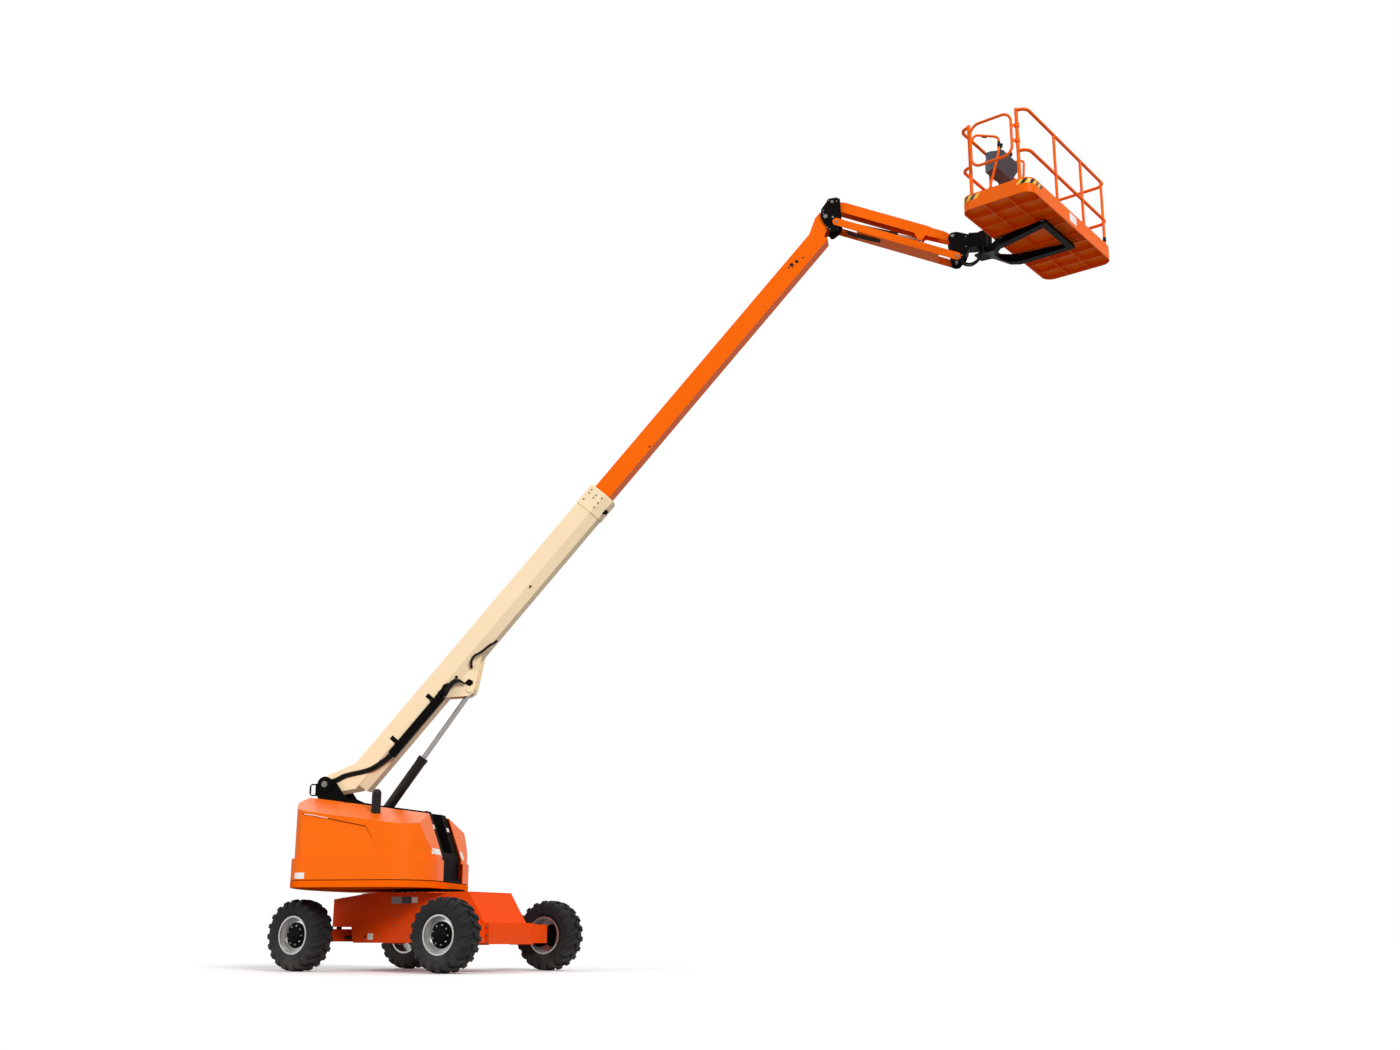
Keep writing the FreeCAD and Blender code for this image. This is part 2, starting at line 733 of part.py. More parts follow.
def exhaust_stack():
    """Round-topped exhaust outlet that stands on the right-hand hood."""
    s, t = -470.0, -700.0
    base = roof_ridge - (s - roof_ridge_s) * roof_fall_forward
    base -= (abs(t) - slot_half_width) * roof_fall_outward
    shoulder = base + stack_height - stack_radius
    pipe = rod(stack_radius, (s, t, base - 40), (s, t, shoulder))
    dome = [(stack_radius, 0), (0.86 * stack_radius, 0.5 * stack_radius),
            (0.5 * stack_radius, 0.86 * stack_radius)]
    cap = join(*[Part.makeCone(r0, r1, z1 - z0, Vector(s, t, shoulder + z0))
                 for (r0, z0), (r1, z1) in zip(dome, dome[1:])])
    return join(pipe, cap).cut(hood_body(-running_gap))


# ---- boom ---------------------------------------------------------------
def boom_section(height, width, chamfer_across, chamfer_up, top, x0, x1):
    """A boom section with flat top and sides and two sloping lower corners."""
    half, bottom = width / 2, top - height
    outline = [
        (-half, top), (half, top), (half, bottom + chamfer_up), (half - chamfer_across, bottom),
        (-half + chamfer_across, bottom), (-half, bottom + chamfer_up),
    ]
    return end_prism(outline, x0, x1)


def base_boom():
    """Base section: a hollow hexagonal box, tail plates back to the pivot and a collar at its mouth."""
    outer = boom_section(base_height, base_width, base_chamfer_across, base_chamfer_up,
                         -boom_drop, base_rear, base_mouth)
    inner = boom_section(base_height - 2 * base_wall, base_width - 2 * base_wall,
                         base_chamfer_across - 4, base_chamfer_up - 4,
                         -boom_drop - base_wall, base_rear + base_wall, base_mouth + 1)
    box = outer.cut(inner)
    half = base_width / 2
    tail_plate = side_prism(
        [(0, 85), (-80, 20), (-70, -90), (200, -boom_drop - base_height + 110),
         (900, -boom_drop - base_height + 110), (900, -boom_drop - 20), (420, -boom_drop - 1),
         (110, 60)],
        half, half + 12,
    )
    boss = tube(88, pivot_pin_radius + pin_gap, (0, half - 30, 0), (0, upright_inner - 4, 0))
    tail_plate = tail_plate.cut(rod(60, (0, 0, 0), (0, 400, 0)))
    cross = tube(70, pivot_pin_radius + pin_gap, (0, -half, 0), (0, half, 0))
    side = join(tail_plate, boss)
    collar = boom_section(base_height + 16, base_width + 16, base_chamfer_across, base_chamfer_up,
                          -boom_drop + 8, base_mouth - 300, base_mouth - 20)
    collar = collar.cut(boom_section(base_height, base_width, base_chamfer_across, base_chamfer_up,
                                     -boom_drop, base_mouth - 400, base_mouth))
    return join(box, side, mirrored(side), cross, collar)


def hose_tray():
    """Open-ended trough on straps along the boom's right side, with the hose bracket at its front."""
    outer, inner = -upright_inner + moving_gap + 1, -base_width / 2 - 3
    trough = block(800, 1760, outer, inner, -455, -345).cut(
        block(799, 1761, outer + 4, inner - 4, -451, -349))
    side = -base_width / 2 - running_gap
    strap = end_prism([(side, -235), (side - 7, -235), (side - 9, -315), (inner - 24, -346),
                       (inner - 4, -346), (side, -316)], -26, 26)
    pieces = [trough]
    for x in (960, 1640):
        piece = strap.copy()
        piece.translate(Vector(x, 0, 0))
        pieces.append(piece)
    pieces.append(side_prism([(1730, -450), (1905, -420), (1925, -350), (1870, -318), (1730, -350)],
                             inner - 12, inner - 2))
    pieces.append(side_prism([(1755, -430), (1800, -430), (1800, -340), (1755, -340)], outer, inner - 2))
    return join(*pieces)


def lift_gusset():
    """Plates under the base section that hold the lift cylinder's rod eye."""
    bottom = -boom_drop - base_height
    outline = [
        (lift_eye_x - 260, bottom - running_gap), (lift_eye_x - 70, -lift_eye_drop - 38),
        (lift_eye_x, -lift_eye_drop - 58), (lift_eye_x + 60, -lift_eye_drop - 34),
        (lift_eye_x + 420, bottom - running_gap),
    ]
    plate = side_prism(outline, lug_inner, lug_inner + 16)
    head = rod(36, (lift_eye_x, lug_inner + 16, -lift_eye_drop), (lift_eye_x, lug_inner + 32, -lift_eye_drop))
    return both(join(plate, head))


def wear_pads():
    """Slide blocks between the base section's mouth and the fly section."""
    gap = running_gap
    x0, x1 = base_mouth - 260, base_mouth - 20
    wall_in = base_width / 2 - base_wall
    fly_top = -boom_drop - fly_drop
    fly_low = fly_top - fly_height
    side = block(x0, x1, fly_width / 2 + gap, wall_in - gap, fly_top - 110, fly_top - 30)
    top = block(x0, x1, -70, 70, fly_top + gap, -boom_drop - base_wall - gap)
    low = block(x0, x1, -60, 60, -boom_drop - base_height + base_wall + gap, fly_low - gap)
    return Part.makeCompound([side, mirrored(side), top, low])


def fly_boom():
    """Fly section: a hollow box whose end rises in a neck to carry the tip knuckle's pin."""
    top = -boom_drop - fly_drop
    low = top - fly_height
    half = fly_width / 2
    outer = block(fly_rear, fly_tip, -half, half, low, top)
    inner = block(fly_rear - 1, fly_tip + 1, -half + fly_wall, half - fly_wall, low + fly_wall,
                  top - fly_wall)
    box = outer.cut(inner)
    neck = [
        (fly_tip - 400, top), (fly_tip - 94, top), (fly_tip + 133, -47), (tip_pivot_x + 10, -47),
        (tip_pivot_x + 58, -110), (tip_pivot_x + 70, -156), (tip_pivot_x + 58, -200),
        (tip_pivot_x + 20, -226),
        (fly_tip - 10, low + 60), (fly_tip - 400, low + 60),
    ]
    plate = side_prism(neck, half - fly_wall, half)
    cap = side_prism([(fly_tip - 100, top - fly_wall), (fly_tip - 94, top), (fly_tip + 133, -47),
                      (tip_pivot_x - 10, -47), (tip_pivot_x - 10, -47 - fly_wall),
                      (fly_tip + 135, -47 - fly_wall), (fly_tip - 90, top - fly_wall)],
                     -half + 1, half - 1)
    whole = join(box, plate, mirrored(plate), cap)
    for x, r in ((fly_tip - 490, 18), (fly_tip - 560, 8), (fly_tip - 590, 8)):
        whole = whole.cut(rod(r, (x, -200, low + fly_height / 2), (x, 200, low + fly_height / 2)))
    return whole.cut(rod(jib_pin_radius + 8, (tip_pivot_x, -400, -tip_pivot_drop),
                         (tip_pivot_x, 400, -tip_pivot_drop)))


def tip_pin():
    return rod(jib_pin_radius + 8, (tip_pivot_x, -150, -tip_pivot_drop),
               (tip_pivot_x, 150, -tip_pivot_drop))


# ---- lift cylinder ------------------------------------------------------
def lift_barrel():
    eye = rod(66, (0, -60, 0), (0, 60, 0))
    body = rod(lift_barrel_radius, (40, 0, 0), (lift_barrel_length - 60, 0, 0))
    gland = rod(lift_barrel_radius + 4, (lift_barrel_length - 60, 0, 0), (lift_barrel_length, 0, 0))
    barrel = join(eye, body, gland)
    barrel = barrel.cut(rod(30 + pin_gap, (0, -100, 0), (0, 100, 0)))
    return barrel.cut(rod(lift_rod_radius + pin_gap, (lift_bore_start, 0, 0), (lift_barrel_length + 1, 0, 0)))


def lift_rod():
    shaft = rod(lift_rod_radius, (lift_rod_start, 0, 0), (lift_length - 30, 0, 0))
    eye = rod(lift_eye_radius, (lift_length, -46, 0), (lift_length, 46, 0))
    return join(shaft, eye).cut(rod(20, (lift_length, -80, 0), (lift_length, 80, 0)))


# ---- tip knuckle and jib ------------------------------------------------
spread = (jib_spread_x, jib_spread_z)


def tip_knuckle():
    """Casting between the fly section and the jib: two cheeks round a central web."""
    low = (jib_pin_x, jib_pin_z)
    high = (jib_pin_x + jib_spread_x, jib_pin_z + jib_spread_z)
    outline = [
        (-64, 20), (-56, 115), (high[0] - 40, high[1] + 58), (high[0] + 60, high[1] + 68),
        (high[0] + 104, high[1] + 40), (low[0] + 70, low[1] + 10), (low[0] + 20, low[1] - 72),
        (95, -200), (60, -204), (-36, -60),
    ]
    inner = fly_width / 2 + moving_gap
    cheek = side_prism(outline, inner, inner + knuckle_plate)
    spine = side_prism([(-8, 121), (28, 262), (46, 262), (46, 160), (26, 118)], -inner - 1, inner + 1)
    whole = join(cheek, mirrored(cheek), spine)
    for x, z, r in ((0, 0, jib_pin_radius + 8 + pin_gap), (*low, jib_pin_radius), (*high, jib_pin_radius),
                    (jib_cylinder_x, jib_cylinder_z, jib_base_pin_radius)):
        whole = whole.cut(rod(r, (x, -300, z), (x, 300, z)))
    return whole


def jib_pins(places, reach):
    """Cross pins at the given points of a level frame."""
    return Part.makeCompound([rod(r, (x, -reach, z), (x, reach, z)) for x, z, r in places])


def knuckle_pins():
    """Arm pins in short halves, so that the jib cylinder can pass between them, and its own pin."""
    reach = jib_lower_half + 6
    cheek_face = jib_lower_half - jib_plate - moving_gap
    places = [(jib_pin_x, jib_pin_z), (jib_pin_x + jib_spread_x, jib_pin_z + jib_spread_z)]
    stubs = [rod(jib_pin_radius, (x, side * 58, z), (x, side * reach, z))
             for x, z in places for side in (-1, 1)]
    base = rod(jib_base_pin_radius, (jib_cylinder_x, -cheek_face, jib_cylinder_z),
               (jib_cylinder_x, cheek_face, jib_cylinder_z))
    return Part.makeCompound(stubs + [base])


def jib_lower():
    """Lower jib arm: two round-ended plates outside the castings, joined by a pan underneath."""
    h, outer, t = jib_lower_height / 2, jib_lower_half, jib_plate
    plate = side_prism([(0, -h), (jib_length, -h), (jib_length, h), (0, h)], outer - t, outer)
    ends = [rod(h, (x, outer - t, 0), (x, outer, 0)) for x in (0, jib_length)]
    side = join(plate, *ends)
    pan = side_prism([(300, -h), (jib_length - 230, -h), (jib_length - 230, -h + t), (300, -h + t)],
                     -outer + 1, outer - 1)
    whole = join(side, mirrored(side), pan)
    for x in (0, jib_length):
        whole = whole.cut(rod(jib_pin_radius + pin_gap, (x, -200, 0), (x, 200, 0)))
    return whole


def jib_upper():
    """Upper jib arm: a box beam open below, with cylinder lugs, and a narrower neck to the end pin."""
    h, w, t = jib_upper_height / 2, jib_upper_half, jib_plate
    beam = [(-34, 0), (-20, 30), (150, h), (jib_neck_x, h), (jib_neck_x, -h + 20), (jib_neck_x - 30, -h),
            (150, -h), (-20, -30)]
    lug = [(jib_lug_x - 95, -h + 4), (jib_lug_x - 38, -jib_lug_drop - 14),
           (jib_lug_x - 20, -jib_lug_drop - 32),
           (jib_lug_x + 20, -jib_lug_drop - 32), (jib_lug_x + 38, -jib_lug_drop - 14),
           (jib_neck_x - 30, -h + 4)]
    side = join(side_prism(beam, w - t, w), side_prism(lug, w - t, w))
    neck = [(jib_neck_x - 160, h - 6), (jib_length - 120, h - 6), (jib_length + 20, 30), (jib_length + 34, 0),
            (jib_length + 20, -30), (jib_length - 60, -44),
            (jib_neck_x - 40, -h + 8), (jib_neck_x - 160, -h + 8)]
    side = join(side, side_prism(neck, w - 2 * t, w - t + 1))
    top = block(160, jib_neck_x, -w + 1, w - 1, h - t, h)
    neck_top = block(jib_neck_x - 100, jib_length - 130, -w + t, w - t, h - 6 - t, h - 6)
    whole = join(side, mirrored(side), top, neck_top)
    for x in (0, jib_length):
        whole = whole.cut(rod(jib_pin_radius + pin_gap, (x, -200, 0), (x, 200, 0)))
    return whole


def jib_barrel():
    eye = rod(30, (0, -28, 0), (0, 28, 0))
    body = rod(jib_barrel_radius, (20, 0, 0), (jib_barrel_length, 0, 0))
    barrel = join(eye, body).cut(rod(jib_base_pin_radius + pin_gap, (0, -60, 0), (0, 60, 0)))
    return barrel.cut(rod(jib_rod_radius + pin_gap, (100, 0, 0), (jib_barrel_length + 1, 0, 0)))


def jib_rod():
    shaft = rod(jib_rod_radius, (420, 0, 0), (jib_cylinder_length - 20, 0, 0))
    eye = rod(28, (jib_cylinder_length, -24, 0), (jib_cylinder_length, 24, 0))
    return join(shaft, eye).cut(rod(12, (jib_cylinder_length, -60, 0), (jib_cylinder_length, 60, 0)))


def jib_head():
    """Casting at the jib's end: cheeks for the two arms and a seat for the rotary actuator."""
    high = spread
    inner = jib_lower_half - jib_plate - moving_gap - 14
    outline = [
        (-60, -40), (-10, -62), (40, -55), (130, 40), (160, 120), (160, 300),
        (high[0] + 60, high[1] + 60), (high[0] - 20, high[1] + 50), (high[0] - 52, high[1] - 10),
    ]
    cheek = side_prism(outline, inner, inner + 14)
    seat = side_prism([(120, 60), (160, 100), (160, 300), (120, 300)], -inner - 1, inner + 1)
    whole = join(cheek, mirrored(cheek), seat)
    for x, z in ((0, 0), high):
        whole = whole.cut(rod(jib_pin_radius, (x, -300, z), (x, 300, z)))
    return whole


def head_pins():
    low = (0, 0, jib_pin_radius)
    high = (*spread, jib_pin_radius)
    return jib_pins([low, high], jib_lower_half + 6)


head_z = jib_head_frame.Base.z
head_reach = Vector(jib_head_frame.Base.x, jib_head_frame.Base.y, 0).Length


def rotary_actuator():
    """Helical rotary actuator with an upright axis, bolted to the jib head."""
    x = rotator_s - head_reach
    low = platform_floor_z - head_z + 60
    body = rod(95, (x, 0, low), (x, 0, low + 240))
    flange = block(160 + running_gap, x - 40, -85, 85, low + 20, low + 220)
    return join(body, flange)


# ---- platform -----------------------------------------------------------
def carrier_form(inset):
    """The carrier under the deck as a filled form: deep at its apex, two arms and two cross members."""
    top, tip, inner, outer = -running_gap, 1030 - inset, 330, 960
    depth = [(-105, -25), (40, -25), (230, -112), (430, -104), (tip, -50)]
    depth = [(x, z + inset) for x, z in depth]
    side = side_prism(depth + [(tip, top), (-105, top)], -500, 500)
    plan = plan_prism([(-105 + inset, -95 + inset), (70, -120 + inset),
                       (inner, -330 + inset), (tip, -440 + inset),
                       (tip, 440 - inset), (inner, 330 - inset),
                       (70, 120 - inset), (-105 + inset, 95 - inset)],
                      -200, top)
    window = plan_prism([(170 - inset, -95 - inset), (inner, -232 - inset), (outer + inset, -335 - inset),
                         (outer + inset, 335 + inset), (inner, 232 + inset), (170 - inset, 95 + inset)],
                        -200, top)
    return side.common(plan).cut(window)


def platform_support():
    """Wishbone carrier from the actuator out under the deck, open on top, with its clamp blocks."""
    hollow = carrier_form(carrier_wall).common(block(150, 1100, -500, 500, -300, 0))
    post = tube(60, 30, (0, 0, -25), (0, 0, 60 - running_gap))
    clamps = []
    for x, y in clamp_places:
        clamps.append(block(x - 34, x + 34, y - 42, y + 42, -30, -running_gap))
        clamps.append(block(x - 26, x + 26, y - 52, y + 52, -14, -running_gap))
    return join(carrier_form(0).cut(hollow), post, *clamps)


def platform_floor():
    """Pressed floor: a thin deck over a grid of ribs, closer together where the carrier clamps on."""
    x0, x1 = platform_reach - platform_width / 2, platform_reach + platform_width / 2
    y = platform_length / 2
    inset = toe_wall + running_gap
    pieces = [block(x0, x1, -y, y, floor_rib - floor_plate, floor_rib)]
    for k in range(4):
        x = x0 + inset + floor_web + (platform_width - 2 * inset - 2 * floor_web) * k / 3
        pieces.append(block(x - floor_web, x + floor_web, -y, y, 0, floor_rib - 1))
    for share in rib_stations:
        for side in (-1, 1):
            yy = side * share * (y - inset - floor_web)
            pieces.append(block(x0, x1, yy - floor_web, yy + floor_web, 0, floor_rib - 1))
    return join(*pieces).common(rounded_box(inset, -1, floor_rib + 1))


def rounded_box(inset, z0, z1):
    """The platform's plan with rounded corners, a distance inside the toe board's outer face."""
    x0, x1 = platform_reach - platform_width / 2 + inset, platform_reach + platform_width / 2 - inset
    y = platform_length / 2 - inset
    box = block(x0, x1, -y, y, z0, z1)
    corners = [edge for edge in box.Edges if abs(edge.tangentAt(0).z) > 0.9]
    return box.makeFillet(toe_corner - inset, corners)


def toe_board():
    """Kick plate round the deck, with rounded corners."""
    return rounded_box(0, 0, skirt).cut(rounded_box(toe_wall, -1, skirt + 1))


def rail_corners():
    """Centre lines of the guard rails: inner and outer long side, and the two ends."""
    x0 = platform_reach - platform_width / 2 + rail_inset
    x1 = platform_reach + platform_width / 2 - rail_inset
    return x0, x1, platform_length / 2 - rail_inset


def platform_rails():
    """Guard rails on three sides, turned in to the gate posts, with a hoop each side of the console."""
    x0, x1, y = rail_corners()
    near = (x0 + gate_post_inset, x1 - gate_post_inset)
    top, mid, foot = rail_height, mid_rail_height, floor_rib
    pieces = []
    for z in (top, mid):
        route = [(near[0], -y, z), (x0, -y, z), (x0, y, z), (x1, y, z), (x1, -y, z), (near[1], -y, z)]
        pieces.append(bent_tube(route, rail_radius, rail_bend))
    for px in near:
        pieces.append(rod(gate_post_radius, (px, -y, foot), (px, -y, top + rail_radius + 4)))
    for px in (x0, x1):
        for py in (-y / 3, y / 3, y - rail_bend - 20):
            pieces.append(rod(post_radius, (px, py, foot), (px, py, top)))
    for rail_end, reach_end in guard_places:
        guard = [(x0, rail_end, top), (x0 + 30, rail_end, top + 80), (x0 + 285, reach_end, top + 45),
                 (x0 + 270, reach_end, 940), (x0 + 100, reach_end, 400), (x0 + 85, reach_end, foot + 1)]
        pieces.append(bent_tube(guard, guard_radius, 60))
    return join(*pieces)


def platform_gate():
    """Swing gate: one bent loop hung on the outer post by two straps."""
    x0, x1, y = rail_corners()
    hinge = x1 - gate_post_inset
    plane = -y - gate_offset
    left, right = x0 + gate_post_inset + 2 * rail_radius, hinge - 2 * rail_radius - 14
    loop = bent_tube([(left, plane, 520), (right, plane, 520), (right, plane, 1080), (left, plane, 1080)],
                     rail_radius - 3, 120, closed=True)
    straps = []
    for z in (700, 900):
        sleeve = tube(gate_post_radius + 8, gate_post_radius + pin_gap,
                      (hinge, -y, z - 25), (hinge, -y, z + 25))
        strap = plan_prism([(right, plane - 6), (hinge - 20, -y - 22),
                            (hinge - 22, -y - 8), (right, plane + 8)],
                           z - 20, z + 20)
        straps += [sleeve, strap]
    return join(loop, *straps)


def control_console():
    """Upper control box on a bracket off the inner long rail, its face tipped towards the operator."""
    x0 = rail_corners()[0] + post_radius + running_gap
    outline = [(x0 + 55, 740), (x0 + 190, 780), (x0 + 325, 930), (x0 + 295, 975), (x0 + 120, 1015),
               (x0 + 55, 1015)]
    box = side_prism(outline, console_near, console_far)
    bracket = side_prism([(x0, 800), (x0 + 60, 770), (x0 + 60, 990), (x0, 960)],
                         console_near + 90, console_far - 90)
    return join(box, bracket)


# Room for the people on the platform: name, what it holds, its centre and its size.
openings = [
    ("work_space_near", "a standing worker", (platform_reach + 155, -650.0, 620.0), (380.0, 700.0, 900.0)),
    ("work_space_far", "a standing worker", (platform_reach + 40, 620.0, 620.0), (560.0, 900.0, 900.0)),
]


# ---- the assembly: node name, shape and the frame it is drawn in ---------
def all_nodes():
    nodes = {}

    def add(name, shape, frame=chassis_frame):
        placed = shape.copy()
        placed.Placement = frame * placed.Placement
        nodes[name] = placed

    add("chassis_box", chassis_frame_box())
    add("bearing_plate", bearing_plate())
    add("swing_bearing", swing_bearing())
    add("drive_axle", drive_axle())
    add("wheel_motors", Part.makeCompound([wheel_motor(-1), wheel_motor(1)]))
    add("steer_beam", steer_beam())
    add("kingpins", kingpins())
    add("steer_cylinder", steer_cylinder())
    add("tie_rod", tie_rod())
    add("knuckle_left", knuckle(1))
    add("knuckle_right", knuckle(-1))
    for place in wheel_places:
        add("tyre_" + place, at_wheel(tyre(), place))
        add("rim_" + place, at_wheel(rim(), place))

    add("turntable_deck", turntable_deck(), turntable_frame)
    add("counterweight", counterweight(), turntable_frame)
    add("boom_uprights", uprights(), turntable_frame)
    add("boom_pivot_pin", pivot_pin(), turntable_frame)
    add("lift_base_pin", lift_base_pin(), turntable_frame)
    add("front_cowl", front_cowl(), turntable_frame)
    add("engine_block", engine_block(), turntable_frame)
    hood = hood_shell()
    add("hood_right", hood, turntable_frame)
    add("hood_left", mirrored(hood), turntable_frame)
    add("exhaust_stack", exhaust_stack(), turntable_frame)
    hinges = hood_hinges()
    add("hood_hinges", Part.makeCompound(hinges + [mirrored(h) for h in hinges]), turntable_frame)

    add("boom_base_section", base_boom(), boom_frame)
    add("lift_gusset", lift_gusset(), boom_frame)
    add("hose_tray", hose_tray(), boom_frame)
    add("wear_pads", wear_pads(), boom_frame)
    add("boom_fly_section", fly_boom(), boom_frame)
    add("tip_pin", tip_pin(), boom_frame)
    add("lift_barrel", lift_barrel(), lift_frame)
    add("lift_rod", lift_rod(), lift_frame)

    add("tip_knuckle", tip_knuckle(), tip_frame)
    add("knuckle_pins", knuckle_pins(), tip_frame)
    add("jib_lower_arm", jib_lower(), jib_lower_frame)
    add("jib_upper_arm", jib_upper(), jib_upper_frame)
    add("jib_barrel", jib_barrel(), jib_cylinder_frame)
    add("jib_rod", jib_rod(), jib_cylinder_frame)
    add("jib_head", jib_head(), jib_head_frame)
    add("head_pins", head_pins(), jib_head_frame)
    add("rotary_actuator", rotary_actuator(), jib_head_frame)

    add("platform_support", platform_support(), platform_frame)
    add("platform_floor", platform_floor(), platform_frame)
    add("toe_board", toe_board(), platform_frame)
    add("platform_rails", platform_rails(), platform_frame)
    add("platform_gate", platform_gate(), platform_frame)
    add("control_console", control_console(), platform_frame)
    return nodes


def base_shift(nodes):
    """Move that puts the origin under the middle of the whole machine's box."""
    box = Part.makeCompound(list(nodes.values())).optimalBoundingBox(False, False)
    return Vector(-(box.XMin + box.XMax) / 2, -(box.YMin + box.YMax) / 2, -box.ZMin)


def main():
    nodes = all_nodes()
    shift = base_shift(nodes)
    os.makedirs("parts", exist_ok=True)
    for name, shape in nodes.items():
        shape.translate(shift)
        shape.exportStep(os.path.join("parts", name + ".step"))
    print("nodes", len(nodes), "shift", [round(v, 3) for v in shift])
    return nodes, shift


if __name__ == "__main__":
    main()
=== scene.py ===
import json
import math

import bmesh
import bpy
from mathutils import Matrix, Vector
from mathutils.bvhtree import BVHTree


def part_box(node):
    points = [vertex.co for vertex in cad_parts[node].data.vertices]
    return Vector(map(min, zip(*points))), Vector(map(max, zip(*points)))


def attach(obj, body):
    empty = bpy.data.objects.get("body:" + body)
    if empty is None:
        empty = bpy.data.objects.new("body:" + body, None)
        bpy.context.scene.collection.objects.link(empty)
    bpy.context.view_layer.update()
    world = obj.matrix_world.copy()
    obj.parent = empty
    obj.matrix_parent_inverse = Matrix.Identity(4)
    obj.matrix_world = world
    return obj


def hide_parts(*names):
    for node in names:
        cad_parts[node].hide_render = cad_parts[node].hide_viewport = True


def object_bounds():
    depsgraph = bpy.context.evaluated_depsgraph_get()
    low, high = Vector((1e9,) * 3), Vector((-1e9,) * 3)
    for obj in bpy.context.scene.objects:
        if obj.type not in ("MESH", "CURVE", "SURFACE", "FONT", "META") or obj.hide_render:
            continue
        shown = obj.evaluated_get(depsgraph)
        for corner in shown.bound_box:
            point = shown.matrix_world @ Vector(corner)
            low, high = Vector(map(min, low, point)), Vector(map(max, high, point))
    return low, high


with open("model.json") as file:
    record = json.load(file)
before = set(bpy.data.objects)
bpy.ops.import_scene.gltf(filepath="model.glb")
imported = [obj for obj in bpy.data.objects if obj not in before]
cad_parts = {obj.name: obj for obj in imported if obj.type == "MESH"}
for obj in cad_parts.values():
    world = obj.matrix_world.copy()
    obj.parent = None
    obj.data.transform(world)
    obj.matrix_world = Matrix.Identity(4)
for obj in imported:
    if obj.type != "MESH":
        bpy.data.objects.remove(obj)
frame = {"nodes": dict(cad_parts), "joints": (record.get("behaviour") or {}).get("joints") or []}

cadBox = [list(corner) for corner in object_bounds()]
nodes = frame["nodes"]


# where the main pieces are
def middleOf(node):
    low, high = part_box(node)
    return (low + high) / 2


def jointNamed(name):
    return next(joint for joint in frame["joints"] if joint["name"] == name)


swingAxis = middleOf("swing_bearing")
groundHeight = cadBox[0][2]


# camera, floor and lights
viewing = {
    "from swing axis": (12.10, -14.15, 0.38),
    "heading": 30.28,  # degrees round from +Y
    "pitch": 13.7,
    "lens": 37.72,
    "sensor": 36,
    "shift": 0.04,
    "sees to": 400,
}


def makeCamera(s):
    camera = bpy.data.objects.new("camera", bpy.data.cameras.new("camera"))
    camera.data.lens = s["lens"]
    camera.data.sensor_width = s["sensor"]
    camera.data.shift_y = s["shift"]
    camera.data.clip_end = s["sees to"]
    x, y, z = s["from swing axis"]
    camera.location = (swingAxis.x + x, swingAxis.y + y, groundHeight + z)
    camera.rotation_euler = (math.radians(90 + s["pitch"]), 0, math.radians(s["heading"]))
    bpy.context.scene.collection.objects.link(camera)
    bpy.context.scene.camera = camera


studio = {
    "floor size": 260,
    "floor seen": (1.08, 1.08, 1.08, 1),
    "floor bounce": (0.30, 0.30, 0.30, 1),  # what lights the object from below
    "floor glow": 0.01,
    "world light": 0.50,
    "lamps": [  # name, turned, tipped, strength, softness in degrees
        ("keyLamp", 30, 27, 2.05, 16),
        ("fillLamp", -62, 26, 0.70, 40),
        ("backLamp", 205, 40, 0.35, 40),
    ],
}


def newNode(tree, kind, **settings):
    node = tree.nodes.new(kind)
    for name, value in settings.items():
        setattr(node, name, value)
    return node


def seenOrLit(tree, seen, lit, out):
    # one shader for what the camera, mirrors and glass see, the other for the light it gives
    rays = tree.nodes.new("ShaderNodeLightPath")
    sharp = newNode(tree, "ShaderNodeMath", operation="ADD", use_clamp=True)
    either = newNode(tree, "ShaderNodeMath", operation="ADD", use_clamp=True)
    mix = tree.nodes.new("ShaderNodeMixShader")
    tree.links.new(rays.outputs["Is Camera Ray"], sharp.inputs[0])
    tree.links.new(rays.outputs["Is Glossy Ray"], sharp.inputs[1])
    tree.links.new(sharp.outputs[0], either.inputs[0])
    tree.links.new(rays.outputs["Is Transmission Ray"], either.inputs[1])
    tree.links.new(either.outputs[0], mix.inputs[0])
    tree.links.new(lit.outputs[0], mix.inputs[1])
    tree.links.new(seen.outputs[0], mix.inputs[2])
    tree.links.new(mix.outputs[0], out.inputs[0])


def makeWorld(s):
    world = bpy.data.worlds.new("studio")
    bpy.context.scene.world = world
    world.use_nodes = True
    tree = world.node_tree
    tree.nodes.clear()
    seen = tree.nodes.new("ShaderNodeBackground")
    lit = tree.nodes.new("ShaderNodeBackground")
    for shader, strength in ((seen, 1), (lit, s["world light"])):
        shader.inputs["Strength"].default_value = strength
        shader.inputs["Color"].default_value = (1, 1, 1, 1)
    seenOrLit(tree, seen, lit, tree.nodes.new("ShaderNodeOutputWorld"))


def makeFloor(s):
    half = s["floor size"] / 2
    mesh = bpy.data.meshes.new("floor")
    corners = [(-half, -half), (half, -half), (half, half), (-half, half)]
    mesh.from_pydata([(x, y, groundHeight) for x, y in corners], [], [(0, 1, 2, 3)])
    floor = bpy.data.objects.new("floor", mesh)
    material = bpy.data.materials.new("floor")
    material.use_nodes = True
    tree = material.node_tree
    tree.nodes.clear()
    white = tree.nodes.new("ShaderNodeBsdfDiffuse")
    bounce = tree.nodes.new("ShaderNodeBsdfDiffuse")
    white.inputs["Color"].default_value = s["floor seen"]
    bounce.inputs["Color"].default_value = s["floor bounce"]
    glow = tree.nodes.new("ShaderNodeEmission")
    glow.inputs["Strength"].default_value = s["floor glow"]
    seen = tree.nodes.new("ShaderNodeAddShader")
    tree.links.new(white.outputs[0], seen.inputs[0])
    tree.links.new(glow.outputs[0], seen.inputs[1])
    seenOrLit(tree, seen, bounce, tree.nodes.new("ShaderNodeOutputMaterial"))
    mesh.materials.append(material)
    bpy.context.scene.collection.objects.link(floor)


